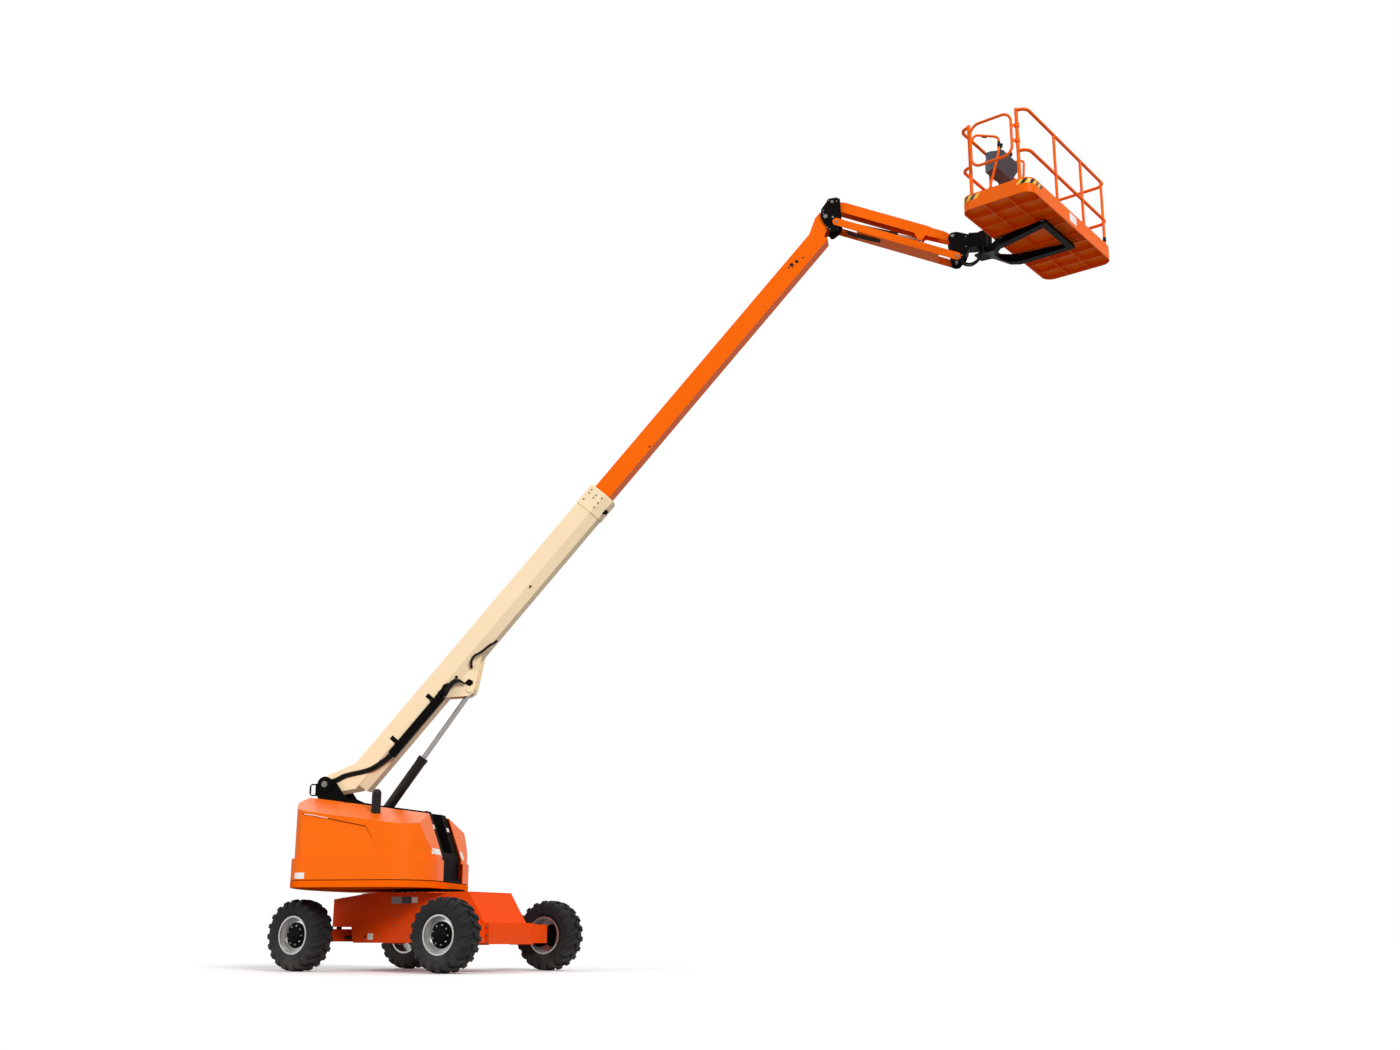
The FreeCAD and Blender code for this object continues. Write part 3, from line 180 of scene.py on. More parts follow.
def makeLamps(s):
    for name, turned, tipped, strength, softness in s["lamps"]:
        lamp = bpy.data.objects.new(name, bpy.data.lights.new(name, "SUN"))
        lamp.data.energy = strength
        lamp.data.angle = math.radians(softness)
        heading = turned + viewing["heading"]
        lamp.rotation_euler = (math.radians(90 - tipped), 0, math.radians(heading))
        bpy.context.scene.collection.objects.link(lamp)


bpy.context.scene.view_settings.view_transform = "Standard"
makeCamera(viewing)
makeWorld(studio)
makeFloor(studio)
makeLamps(studio)
print("camera, floor and lights made")


# materials
def shade(red, green, blue):
    values = []
    for part in (red, green, blue):
        part /= 255
        values.append(part / 12.92 if part <= 0.04045 else ((part + 0.055) / 1.055) ** 2.4)
    return (*values, 1)


def noiseFor(tree, place, scale, detail=3, roughness=0.55):
    node = newNode(tree, "ShaderNodeTexNoise")
    node.inputs["Scale"].default_value = scale
    node.inputs["Detail"].default_value = detail
    node.inputs["Roughness"].default_value = roughness
    tree.links.new(place, node.inputs["Vector"])
    return node.outputs["Fac"]


def spread(tree, value, fromLow, fromHigh, toLow, toHigh):
    node = newNode(tree, "ShaderNodeMapRange")
    ends = {"From Min": fromLow, "From Max": fromHigh, "To Min": toLow, "To Max": toHigh}
    for socket, number in ends.items():
        node.inputs[socket].default_value = number
    tree.links.new(value, node.inputs["Value"])
    return node.outputs["Result"]


def blendColour(tree, factor, first, second):
    node = newNode(tree, "ShaderNodeMix", data_type="RGBA")
    for socket, value in (("Factor", factor), ("A", first), ("B", second)):
        target = next(i for i in node.inputs if i.name == socket and i.enabled)
        if hasattr(value, "links"):
            tree.links.new(value, target)
        else:
            target.default_value = value
    return next(o for o in node.outputs if o.enabled)


def bumpFrom(tree, height, distance):
    node = newNode(tree, "ShaderNodeBump")
    node.inputs["Distance"].default_value = distance
    node.inputs["Strength"].default_value = 1
    tree.links.new(height, node.inputs["Height"])
    return node.outputs["Normal"]


plainFinish = {  # what every finish starts from
    "metal": 0, "specular": 0.3, "coat": 0, "coat roughness": 0.1,
    "tones": (0.9, 1.08), "cloud size": 0.9, "cloud edges": (0.3, 0.7),
    "grime": 0.12, "dirt colour": shade(92, 80, 68), "speck edges": (0.62, 0.8),
    "grain size": 38, "grain detail": 4, "grain roughness": 0.65,
    "roughness": (0.32, 0.42), "gloss edges": (0.35, 0.7),
    "bump size": 140, "bump detail": 2, "bump depth": 0.00005,
    "dust": 0.35, "dust height": 0, "dust foot": 0.05, "dust colour": shade(150, 138, 122),
    "patch size": 7, "patch edges": (0.35, 0.65), "patch share": (0.2, 1),
}


def finishNamed(name, colour, changes):
    s = {**plainFinish, **changes}
    material = bpy.data.materials.new(name)
    material.use_nodes = True
    tree = material.node_tree
    shader = tree.nodes["Principled BSDF"]
    place = newNode(tree, "ShaderNodeTexCoord").outputs["Object"]
    shader.inputs["Metallic"].default_value = s["metal"]
    shader.inputs["Specular IOR Level"].default_value = s["specular"]
    shader.inputs["Coat Weight"].default_value = s["coat"]
    shader.inputs["Coat Roughness"].default_value = s["coat roughness"]
    wide = noiseFor(tree, place, s["cloud size"])
    fine = noiseFor(tree, place, s["grain size"], s["grain detail"], s["grain roughness"])
    dark, light = s["tones"]
    darker = (*[c * dark for c in colour[:3]], 1)
    lighter = (*[min(1, c * light) for c in colour[:3]], 1)
    tone = blendColour(tree, spread(tree, wide, *s["cloud edges"], 0, 1), darker, lighter)
    speck = spread(tree, fine, *s["speck edges"], 0, s["grime"])
    tone = blendColour(tree, speck, tone, s["dirt colour"])
    if s["dust height"]:
        height = newNode(tree, "ShaderNodeSeparateXYZ")
        tree.links.new(place, height.inputs[0])
        dusty = spread(tree, height.outputs["Z"], s["dust foot"], s["dust height"], s["dust"], 0)
        patchy = newNode(tree, "ShaderNodeMath", operation="MULTIPLY")
        tree.links.new(dusty, patchy.inputs[0])
        patches = noiseFor(tree, place, s["patch size"])
        broken = spread(tree, patches, *s["patch edges"], *s["patch share"])
        tree.links.new(broken, patchy.inputs[1])
        tone = blendColour(tree, patchy.outputs[0], tone, s["dust colour"])
    tree.links.new(tone, shader.inputs["Base Color"])
    gloss = spread(tree, fine, *s["gloss edges"], *s["roughness"])
    tree.links.new(gloss, shader.inputs["Roughness"])
    grain = noiseFor(tree, place, s["bump size"], s["bump detail"])
    tree.links.new(bumpFrom(tree, grain, s["bump depth"]), shader.inputs["Normal"])
    return material


paintFinish = {"specular": 0.05, "coat": 0.025, "coat roughness": 0.12, "roughness": (0.34, 0.46),
               "tones": (0.95, 1.03), "grime": 0.04}
skinFinish = {"specular": 0.08, "coat": 0.07, "coat roughness": 0.14, "roughness": (0.32, 0.42),
              "tones": (0.97, 1.02), "grime": 0.02, "bump size": 45, "bump depth": 0.00015}
satinFinish = {"specular": 0.03, "coat": 0.01, "coat roughness": 0.25, "roughness": (0.38, 0.52),
               "tones": (0.75, 1.3), "grime": 0.05, "dirt colour": shade(60, 55, 50)}
steelFinish = {"metal": 0.9, "roughness": (0.3, 0.5), "tones": (0.8, 1.15), "grime": 0.2}
rubberFinish = {"specular": 0.14, "roughness": (0.55, 0.72), "tones": (0.8, 1.25), "grime": 0.1,
                "bump size": 160, "bump depth": 0.0001}
plateFinish = {"specular": 0.3, "roughness": (0.25, 0.35), "tones": (0.97, 1.02), "grime": 0.04}
looks = {  # the record's finish slots
    "orange_paint": (shade(255, 106, 2), paintFinish),
    "chassis_paint": (shade(244, 76, 3), {**paintFinish, "dust height": 0.6, "dust": 0.16,
                                          "grime": 0.07}),
    "cream_paint": (shade(255, 229, 190), {**paintFinish, "tones": (0.97, 1.02), "grime": 0.03,
                                           "dirt colour": shade(150, 120, 90)}),
    "black_paint": (shade(12, 10, 9), satinFinish),
    "grey_paint": (shade(48, 46, 45), satinFinish),
    "rim_silver": (shade(182, 181, 179), {**steelFinish, "metal": 0.75, "roughness": (0.26, 0.36),
                                          "tones": (0.9, 1.08)}),
    "steel": (shade(128, 124, 118), steelFinish),
    "rod_chrome": (shade(158, 153, 152), {"metal": 1, "roughness": (0.10, 0.18),
                                          "tones": (0.94, 1.02), "grime": 0.02}),
    "cast_weight": (shade(254, 100, 4), {**paintFinish, "bump size": 40, "bump depth": 0.0010}),
    "hood_skin": (shade(255, 110, 6), skinFinish),
    "engine_metal": (shade(60, 60, 60), steelFinish),
    "tyre_rubber": (shade(34, 34, 36), {
        "specular": 0.16, "roughness": (0.62, 0.85), "tones": (0.8, 1.25), "grime": 0.3,
        "dirt colour": shade(78, 74, 68), "dust height": 0.5, "dust": 0.14,
        "bump size": 110, "bump depth": 0.0003}),
    "pad_plastic": (shade(40, 40, 38), satinFinish),
    "console_plastic": (shade(76, 86, 98), {"roughness": (0.42, 0.55), "tones": (0.9, 1.1),
                                            "bump size": 220, "bump depth": 0.0001}),
}
ownLooks = {  # finishes that have no slot in the record
    "hoseRubber": (shade(20, 17, 15), rubberFinish),
    "bootRubber": (shade(20, 20, 21), rubberFinish),
    "plateWhite": (shade(240, 238, 232), plateFinish),
    "plateGrey": (shade(150, 148, 144), plateFinish),
    "plateBlack": (shade(22, 22, 22), plateFinish),
    "tapeYellow": (shade(252, 190, 24), plateFinish),
    "stopRed": (shade(196, 24, 18), {"coat": 0.3, "roughness": (0.25, 0.35),
                                     "tones": (0.95, 1.05), "grime": 0.02}),
    "deckPaint": (shade(255, 103, 2), {**paintFinish, "specular": 0, "coat": 0}),
    "dullBlack": (shade(18, 14, 12), {**satinFinish, "specular": 0.006, "coat": 0}),
    "barrelPaint": (shade(27, 20, 18), {**satinFinish, "specular": 0.16,
                                        "roughness": (0.24, 0.34)}),
}
materials = {name: finishNamed(name, colour, changes)
             for name, (colour, changes) in {**looks, **ownLooks}.items()}

ownFinish = {  # nodes that look duller or glossier than the rest of their slot
    "turntable_deck": "deckPaint",
    "front_cowl": "dullBlack",
    "swing_bearing": "dullBlack",
    "lift_barrel": "barrelPaint",
    "jib_barrel": "barrelPaint",
    "exhaust_stack": "barrelPaint",
}
for name, piece in nodes.items():
    for index, held in enumerate(piece.data.materials):
        finish = ownFinish.get(name, held.name.split(".")[0])
        piece.data.materials[index] = materials[finish]
print("finishes made")


# frames along the machine's arms
def frameFrom(origin, along, across):
    along, across = along.normalized(), across.normalized()
    up = along.cross(across)
    turned = Matrix((along, across, up)).transposed().to_4x4()
    return Matrix.Translation(origin) @ turned


def jointPlace(name):
    return Vector(jointNamed(name)["pos_m"])


platformTurn = -29.8  # degrees from the boom's heading
upright = Vector((0, 0, 1))
across = -Vector(jointNamed("boom_lift")["axis"])
ahead = across.cross(upright)
boomWay = Vector(jointNamed("boom_telescope")["axis"])
jibWay = jointPlace("jib_head_level") - jointPlace("jib_lift")
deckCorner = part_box("toe_board")[0]
rotatorPlace = jointPlace("platform_rotate")
platformAhead = Matrix.Rotation(math.radians(platformTurn), 3, "Z") @ ahead
swingFrame = frameFrom(Vector((swingAxis.x, swingAxis.y, groundHeight)), ahead, across)
chassisFrame = Matrix.Translation((swingAxis.x, swingAxis.y, groundHeight))
boomFrame = frameFrom(jointPlace("boom_lift"), boomWay, across)
pivotFrame = frameFrom(jointPlace("boom_lift"), ahead, across)
tipFrame = frameFrom(jointPlace("knuckle_level"), ahead, across)
lowerArmFrame = frameFrom(jointPlace("jib_lift"), jibWay, across)
headFrame = frameFrom(jointPlace("jib_head_level"), ahead, across)
platformFrame = frameFrom(Vector((rotatorPlace.x, rotatorPlace.y, deckCorner.z)),
                          platformAhead, upright.cross(platformAhead))


# making and keeping pieces
def keepPiece(thing, body):
    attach(thing, body)


def meshObject(name, points, faces, place=Matrix.Identity(4), edges=()):
    mesh = bpy.data.meshes.new(name)
    mesh.from_pydata([place @ Vector(point) for point in points], list(edges), faces)
    thing = bpy.data.objects.new(name, mesh)
    bpy.context.scene.collection.objects.link(thing)
    return thing


thinMerge = 0.000001  # for thin pieces, whose two faces lie close


def faceOutwards(thing, merge=0.00001):
    worked = bmesh.new()
    worked.from_mesh(thing.data)
    bmesh.ops.remove_doubles(worked, verts=worked.verts, dist=merge)
    bmesh.ops.recalc_face_normals(worked, faces=worked.faces)
    worked.to_mesh(thing.data)
    worked.free()


def smoothEdges(thing, degrees=35):
    for face in thing.data.polygons:
        face.use_smooth = True
    thing.data.set_sharp_from_angle(angle=math.radians(degrees))


def turnedPoints(outline, steps):
    # outline is (across the axle, radius); the axle is Y
    points = []
    for step in range(steps):
        angle = 2 * math.pi * step / steps
        points += [(radius * math.sin(angle), y, radius * math.cos(angle)) for y, radius in outline]
    return points


def turnedFaces(count, steps, closed=True):
    faces = []
    for step in range(steps):
        here, after = step * count, (step + 1) % steps * count
        for i in range(count if closed else count - 1):
            j = (i + 1) % count
            faces.append((here + i, here + j, after + j, after + i))
    return faces


def turnedPiece(name, outline, place, material, steps, closed=False):
    faces = turnedFaces(len(outline), steps, closed)
    thing = meshObject(name, turnedPoints(outline, steps), faces, place)
    faceOutwards(thing)
    smoothEdges(thing)
    thing.data.materials.append(material)
    return thing


def prismShape(outline, low, high):
    # outline in X-Z, pushed along Y
    count = len(outline)
    points = [(x, low, z) for x, z in outline] + [(x, high, z) for x, z in outline]
    faces = [tuple(range(count)), tuple(range(2 * count - 1, count - 1, -1))]
    faces += [(i, (i + 1) % count, (i + 1) % count + count, i + count) for i in range(count)]
    return points, faces


def joinShapes(shapes):
    points, faces = [], []
    for some, theirs in shapes:
        faces += [tuple(i + len(points) for i in face) for face in theirs]
        points += some
    return points, faces


sharpFrom = 0.5  # radians between two faces, from which their edge is rounded


def solidPiece(name, shape, place, body, material, rounding):
    thing = meshObject(name, *shape, place)
    faceOutwards(thing, thinMerge)
    worked = bmesh.new()
    worked.from_mesh(thing.data)
    edges = [e for e in worked.edges
             if len(e.link_faces) == 2 and e.calc_face_angle() > sharpFrom]
    bmesh.ops.bevel(worked, geom=edges, offset=rounding, segments=2, profile=0.5, affect="EDGES")
    worked.to_mesh(thing.data)
    worked.free()
    smoothEdges(thing)
    thing.data.materials.append(material)
    keepPiece(thing, body)


# node trees for what repeats
def startTree(name, inputs):
    tree = bpy.data.node_groups.new(name, "GeometryNodeTree")
    tree.interface.new_socket("Geometry", in_out="INPUT", socket_type="NodeSocketGeometry")
    for label, kind in inputs:
        tree.interface.new_socket(label, in_out="INPUT", socket_type=kind)
    tree.interface.new_socket("Geometry", in_out="OUTPUT", socket_type="NodeSocketGeometry")
    return tree, tree.nodes.new("NodeGroupInput"), tree.nodes.new("NodeGroupOutput")


def endTree(tree, given, out, geometry):
    real = tree.nodes.new("GeometryNodeRealizeInstances")
    coated = tree.nodes.new("GeometryNodeSetMaterial")
    tree.links.new(geometry, real.inputs[0])
    tree.links.new(real.outputs[0], coated.inputs["Geometry"])
    tree.links.new(given.outputs["Material"], coated.inputs["Material"])
    tree.links.new(coated.outputs[0], out.inputs[0])
    return tree


def ringTree():
    # copies of the mesh, turned about Y
    tree, given, out = startTree("ring of copies", [
        ("Count", "NodeSocketInt"), ("First Angle", "NodeSocketFloat"),
        ("Material", "NodeSocketMaterial")])
    line = tree.nodes.new("GeometryNodeMeshLine")
    line.inputs["Offset"].default_value = (0, 0, 0)
    tree.links.new(given.outputs["Count"], line.inputs["Count"])
    share = newNode(tree, "ShaderNodeMath", operation="DIVIDE")
    share.inputs[0].default_value = 2 * math.pi
    tree.links.new(given.outputs["Count"], share.inputs[1])
    angle = newNode(tree, "ShaderNodeMath", operation="MULTIPLY_ADD")
    tree.links.new(tree.nodes.new("GeometryNodeInputIndex").outputs[0], angle.inputs[0])
    tree.links.new(share.outputs[0], angle.inputs[1])
    tree.links.new(given.outputs["First Angle"], angle.inputs[2])
    turn = tree.nodes.new("ShaderNodeCombineXYZ")
    tree.links.new(angle.outputs[0], turn.inputs["Y"])
    rotation = tree.nodes.new("FunctionNodeEulerToRotation")
    tree.links.new(turn.outputs[0], rotation.inputs[0])
    copies = tree.nodes.new("GeometryNodeInstanceOnPoints")
    tree.links.new(line.outputs[0], copies.inputs["Points"])
    tree.links.new(given.outputs["Geometry"], copies.inputs["Instance"])
    tree.links.new(rotation.outputs[0], copies.inputs["Rotation"])
    return endTree(tree, given, out, copies.outputs[0])


def spotTree():
    # one copy of a second mesh on each point
    tree, given, out = startTree("copies on points", [
        ("Shape", "NodeSocketObject"), ("Turned", "NodeSocketVector"),
        ("Material", "NodeSocketMaterial")])
    shape = tree.nodes.new("GeometryNodeObjectInfo")
    tree.links.new(given.outputs["Shape"], shape.inputs["Object"])
    rotation = tree.nodes.new("FunctionNodeEulerToRotation")
    tree.links.new(given.outputs["Turned"], rotation.inputs[0])
    copies = tree.nodes.new("GeometryNodeInstanceOnPoints")
    tree.links.new(given.outputs["Geometry"], copies.inputs["Points"])
    tree.links.new(shape.outputs["Geometry"], copies.inputs["Instance"])
    tree.links.new(rotation.outputs[0], copies.inputs["Rotation"])
    return endTree(tree, given, out, copies.outputs[0])


def hoseTree():
    # a round hose along each chain of edges
    tree, given, out = startTree("hoses on edges", [
        ("Radius", "NodeSocketFloat"), ("Sides", "NodeSocketInt"),
        ("Material", "NodeSocketMaterial")])
    path = tree.nodes.new("GeometryNodeMeshToCurve")
    tree.links.new(given.outputs["Geometry"], path.inputs["Mesh"])
    circle = newNode(tree, "GeometryNodeCurvePrimitiveCircle", mode="RADIUS")
    tree.links.new(given.outputs["Sides"], circle.inputs["Resolution"])
    tree.links.new(given.outputs["Radius"], circle.inputs["Radius"])
    swept = tree.nodes.new("GeometryNodeCurveToMesh")
    swept.inputs["Fill Caps"].default_value = True
    tree.links.new(path.outputs[0], swept.inputs["Curve"])
    tree.links.new(circle.outputs["Curve"], swept.inputs["Profile Curve"])
    return endTree(tree, given, out, swept.outputs[0])


trees = {"ring": ringTree(), "spots": spotTree(), "hoses": hoseTree()}


def grown(thing, kind, values):
    # runs a node tree on a mesh and keeps the plain result
    tree = trees[kind]
    modifier = thing.modifiers.new(kind, "NODES")
    modifier.node_group = tree
    sockets = {item.name: item.identifier for item in tree.interface.items_tree
               if item.in_out == "INPUT"}
    for label, value in values.items():
        modifier[sockets[label]] = value
    bpy.context.view_layer.update()
    finished = thing.evaluated_get(bpy.context.evaluated_depsgraph_get())
    result = bpy.data.meshes.new_from_object(finished)
    thing.modifiers.clear()
    thing.data = result
    return thing


def joinedInto(first, others):
    worked = bmesh.new()
    worked.from_mesh(first.data)
    for other in others:
        worked.from_mesh(other.data)
        bpy.data.objects.remove(other)
    worked.to_mesh(first.data)
    worked.free()
    return first


# tyres with two staggered rows of bars
tyre = {
    "bars each side": 20,
    "steps round": 96,
    "shell": [  # across the axle, radius
        (0.0, 0.393), (0.100, 0.391), (0.128, 0.383), (0.143, 0.362), (0.1475, 0.330),
        (0.1495, 0.318), (0.1475, 0.308), (0.1475, 0.296), (0.1495, 0.290), (0.1465, 0.268),
        (0.140, 0.250), (0.128, 0.232), (0.1192, 0.224), (0.1188, 0.2125),
    ],
    "shell edge": 50,  # degrees from which an edge stays sharp
    "bar": [  # across, radius, outward part, sideways part, height, angle, width
        (0.004, 0.393, 1.0, 0.0, 0.0262, 0.000, 0.062),
        (0.046, 0.392, 1.0, 0.0, 0.0260, 0.034, 0.054),
        (0.094, 0.390, 1.0, 0.0, 0.0270, 0.092, 0.056),
        (0.124, 0.382, 0.80, 0.60, 0.0250, 0.122, 0.064),
        (0.141, 0.360, 0.35, 0.94, 0.0135, 0.132, 0.066),
        (0.147, 0.330, 0.0, 1.0, 0.0065, 0.132, 0.056),
        (0.148, 0.308, 0.0, 1.0, 0.0010, 0.130, 0.040),
    ],
    "bar root": 0.006,  # how deep a bar starts in the shell
    "top share": 0.78,  # how much narrower a bar is at its face
    "bar edge": 28,
}


def barShape(s, side):
    points, faces = [], []
    for y, radius, outward, sideways, height, angle, width in s["bar"]:
        for rise, share in ((-s["bar root"], 1.0), (height, s["top share"])):
            r = radius + rise * outward
            beside = y + rise * sideways
            for end in (-1, 1):
                turned = angle + end * share * width / 2 / radius
                points.append((r * math.sin(turned), side * beside, r * math.cos(turned)))
    last = 4 * (len(s["bar"]) - 1)
    for a in range(0, last, 4):
        b = a + 4
        faces += [(a + 2, a + 3, b + 3, b + 2), (a, a + 2, b + 2, b),
                  (a + 3, a + 1, b + 1, b + 3), (a + 1, a, b, b + 1)]
    faces += [(0, 1, 3, 2), (last, last + 2, last + 3, last + 1)]
    return points, faces


def makeTyre(place, s, material):
    outline = list(reversed(s["shell"])) + [(-y, r) for y, r in s["shell"][1:]]
    shell = meshObject("tread_" + place, turnedPoints(outline, s["steps round"]),
                       turnedFaces(len(outline), s["steps round"]))
    faceOutwards(shell)
    shell.data.materials.append(material)
    smoothEdges(shell, s["shell edge"])
    rows = []
    for side, first in ((1, 0.0), (-1, math.pi / s["bars each side"])):
        bar = meshObject("bar", *barShape(s, side))
        faceOutwards(bar)
        rows.append(grown(bar, "ring", {"Count": s["bars each side"], "First Angle": first,
                                        "Material": material}))
        smoothEdges(rows[-1], s["bar edge"])
    joinedInto(shell, rows)
    shell.data.transform(Matrix.Translation(middleOf("tyre_" + place)))
    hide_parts("tyre_" + place)
    keepPiece(shell, "wheel_" + place)


# wheel centres: a drum with a ring of nuts
wheelCentre = {
    "steps round": 48,
    "nuts": 9,
    "nut circle": 0.108,
    "nut seat": 0.078,  # out from the wheel's middle
    "first nut": 0.2,  # radians round from the top
    "nut": (0.0135, 0.020),  # radius, height
    "profile": [  # outward from the wheel's middle, radius
        (0.050, 0.0), (0.050, 0.150), (0.0680, 0.150), (0.0715, 0.145), (0.0740, 0.130),
        (0.0775, 0.126), (0.0790, 0.096), (0.1115, 0.090), (0.1200, 0.082), (0.1220, 0.050),
        (0.1270, 0.046), (0.1285, 0.040), (0.1285, 0.0),
    ],
}
nutForm = {
    "sides": 6,
    "straight share": 0.8,  # of the height, below the chamfer
    "top share": 0.78,  # of the radius, at the chamfer's end
    "bolt share": 0.9,  # a bolt head's height in radii
}


def nutShape(radius, height, s=nutForm):
    points, faces = [], []
    sides = s["sides"]
    for z, r in ((0, radius), (height * s["straight share"], radius),
                 (height, radius * s["top share"])):
        points += [(r * math.cos(2 * math.pi * k / sides), r * math.sin(2 * math.pi * k / sides), z)
                   for k in range(sides)]
    for level in range(2):
        a, b = level * sides, (level + 1) * sides
        faces += [(a + k, a + (k + 1) % sides, b + (k + 1) % sides, b + k) for k in range(sides)]
    faces += [tuple(range(sides - 1, -1, -1)), tuple(range(2 * sides, 3 * sides))]
    return points, faces


def makeWheelCentre(place, s, material):
    centre = middleOf("rim_" + place)
    side = 1 if centre.y > swingAxis.y else -1
    drum = turnedPiece("hub_" + place, [(side * y, r) for y, r in s["profile"]],
                       Matrix.Identity(4), material, s["steps round"])
    seat = Matrix.Translation((0, side * s["nut seat"], s["nut circle"]))
    nut = meshObject("nut", *nutShape(*s["nut"]),
                     seat @ Matrix.Rotation(-side * math.pi / 2, 4, "X"))
    faceOutwards(nut)
    nuts = grown(nut, "ring", {"Count": s["nuts"], "First Angle": s["first nut"],
                               "Material": materials["steel"]})
    nuts.name = "nuts_" + place
    for thing, slot in ((drum, "black_paint"), (nuts, "steel")):
        thing.data.transform(Matrix.Translation(centre))
        keepPiece(thing, "wheel_" + place)


for place in ("steer_left", "steer_right", "drive_left", "drive_right"):
    makeTyre(place, tyre, materials["tyre_rubber"])
    makeWheelCentre(place, wheelCentre, materials["black_paint"])
print("tyres and wheel centres made")


# bolts, all from one head
def makeBolts(name, places, outward, place, size, body):
    head = meshObject("head", *nutShape(size, size * nutForm["bolt share"]))
    faceOutwards(head)
    spots = meshObject(name, places, [], place)
    facing = place.to_3x3() @ Vector(outward)
    turned = upright.rotation_difference(facing).to_euler()
    grown(spots, "spots", {"Shape": head, "Turned": tuple(turned), "Material": materials["steel"]})
    bpy.data.objects.remove(head)
    keepPiece(spots, body)


def circleOf(count, radius, height):
    angles = [2 * math.pi * k / count for k in range(count)]
    return [(radius * math.cos(angle), radius * math.sin(angle), height) for angle in angles]


mouth = {
    "bolt size": 0.011,
    "side": 0.153,
    "places": [(4.952, -0.141), (4.903, -0.142), (4.932, -0.235), (4.887, -0.232),
               (4.946, -0.322), (4.870, -0.322), (4.798, -0.322), (4.798, -0.141)],
    "top": -0.092,
    "top along": (4.77, 4.94),
    "top across": (-0.105, -0.035, 0.035, 0.105),
}
bearing = {"bolts": 36, "bolt size": 0.014, "circle": 0.475, "height": 0.914}
pivotCircle = 0.022
axle = {"middle": (1.115, 0.420), "along": (-0.142, 0.142), "up": (-0.09, 0.0, 0.09)}
sideBolts = {  # frame, body, bolt size, out from the middle, places ahead and up
    "pivot_bolts": (pivotFrame, "turntable", 0.008, 0.247,
                    [(pivotCircle * math.cos(a), pivotCircle * math.sin(a))
                     for a in (0.5, 2.6, 4.7)]),
    "tip_bolts": (tipFrame, "knuckle", 0.010, 0.122,
                  [(-0.028, 0.095), (0.045, 0.232), (0.125, 0.262), (0.150, 0.215),
                   (0.020, -0.150), (0.052, -0.178), (-0.030, 0.050)]),
    "head_bolts": (headFrame, "jib_head", 0.010, 0.122,
                   [(0.065, 0.010), (0.035, -0.030), (0.120, 0.130), (0.120, 0.270),
                    (-0.030, 0.300)]),
    "axle_bolts": (chassisFrame, "chassis", 0.013, 0.430,
                   [(axle["middle"][0] + x, axle["middle"][1] + z)
                    for x in axle["along"] for z in axle["up"]]),
    "frame_bolts": (chassisFrame, "chassis", 0.013, 0.400, [(-0.148, 0.635), (-0.148, 0.532)]),
}
clamps = {
    "bolt size": 0.0105,
    "underside": -0.014,
    "middles": [(0.376, -0.292), (0.376, 0.292), (0.992, -0.395), (0.992, 0.395)],
    "along": (-0.013, 0.013),
    "across": (-0.047, 0.047),
}
sides = (("right", -1), ("left", 1))

for label, side in sides:
    makeBolts("mouth_bolts_" + label, [(x, side * mouth["side"], z) for x, z in mouth["places"]],
              (0, side, 0), boomFrame, mouth["bolt size"], "boom")
makeBolts("mouth_bolts_top",
          [(x, y, mouth["top"]) for x in mouth["top along"] for y in mouth["top across"]],
          (0, 0, 1), boomFrame, mouth["bolt size"], "boom")
makeBolts("bearing_bolts", circleOf(bearing["bolts"], bearing["circle"], bearing["height"]),
          (0, 0, 1), chassisFrame, bearing["bolt size"], "chassis")
for label, side in sides:
    for name, (place, body, size, out, spots) in sideBolts.items():
        makeBolts(f"{name}_{label}", [(x, side * out, z) for x, z in spots], (0, side, 0), place,
                  size, body)
makeBolts("clamp_bolts",
          [(x + dx, y + dy, clamps["underside"]) for x, y in clamps["middles"]
           for dx in clamps["along"] for dy in clamps["across"]],
          (0, 0, -1), platformFrame, clamps["bolt size"], "platform")
print("bolts made")


# hoses
hoseForm = {"sides": 10, "steps between points": 6, "edge": 60}


def curveThrough(points, steps):
    # a smooth line through given points
    points = [Vector(p) for p in points]
    line = [points[0]]
    for i in range(len(points) - 1):
        before, here = points[max(i - 1, 0)], points[i]
        after, beyond = points[i + 1], points[min(i + 2, len(points) - 1)]
        for step in range(1, steps + 1):
            t = step / steps
            line.append(0.5 * (2 * here + (after - before) * t
                               + (2 * before - 5 * here + 4 * after - beyond) * t * t
                               + (3 * here - before - 3 * after + beyond) * t * t * t))
    return line


def makeHoses(name, s):
    points, edges = [], []
    for across, up in s["hoses"]:
        line = curveThrough([(x, y + across, z + up) for x, y, z in s["route"]],
                            hoseForm["steps between points"])
        edges += [(len(points) + k, len(points) + k + 1) for k in range(len(line) - 1)]
        points += line
    hoses = meshObject(name, points, [], s["frame"], edges)
    grown(hoses, "hoses", {"Radius": s["radius"], "Sides": s.get("sides", hoseForm["sides"]),
                           "Material": materials["hoseRubber"]})
    faceOutwards(hoses)
    smoothEdges(hoses, hoseForm["edge"])
    keepPiece(hoses, s["body"])


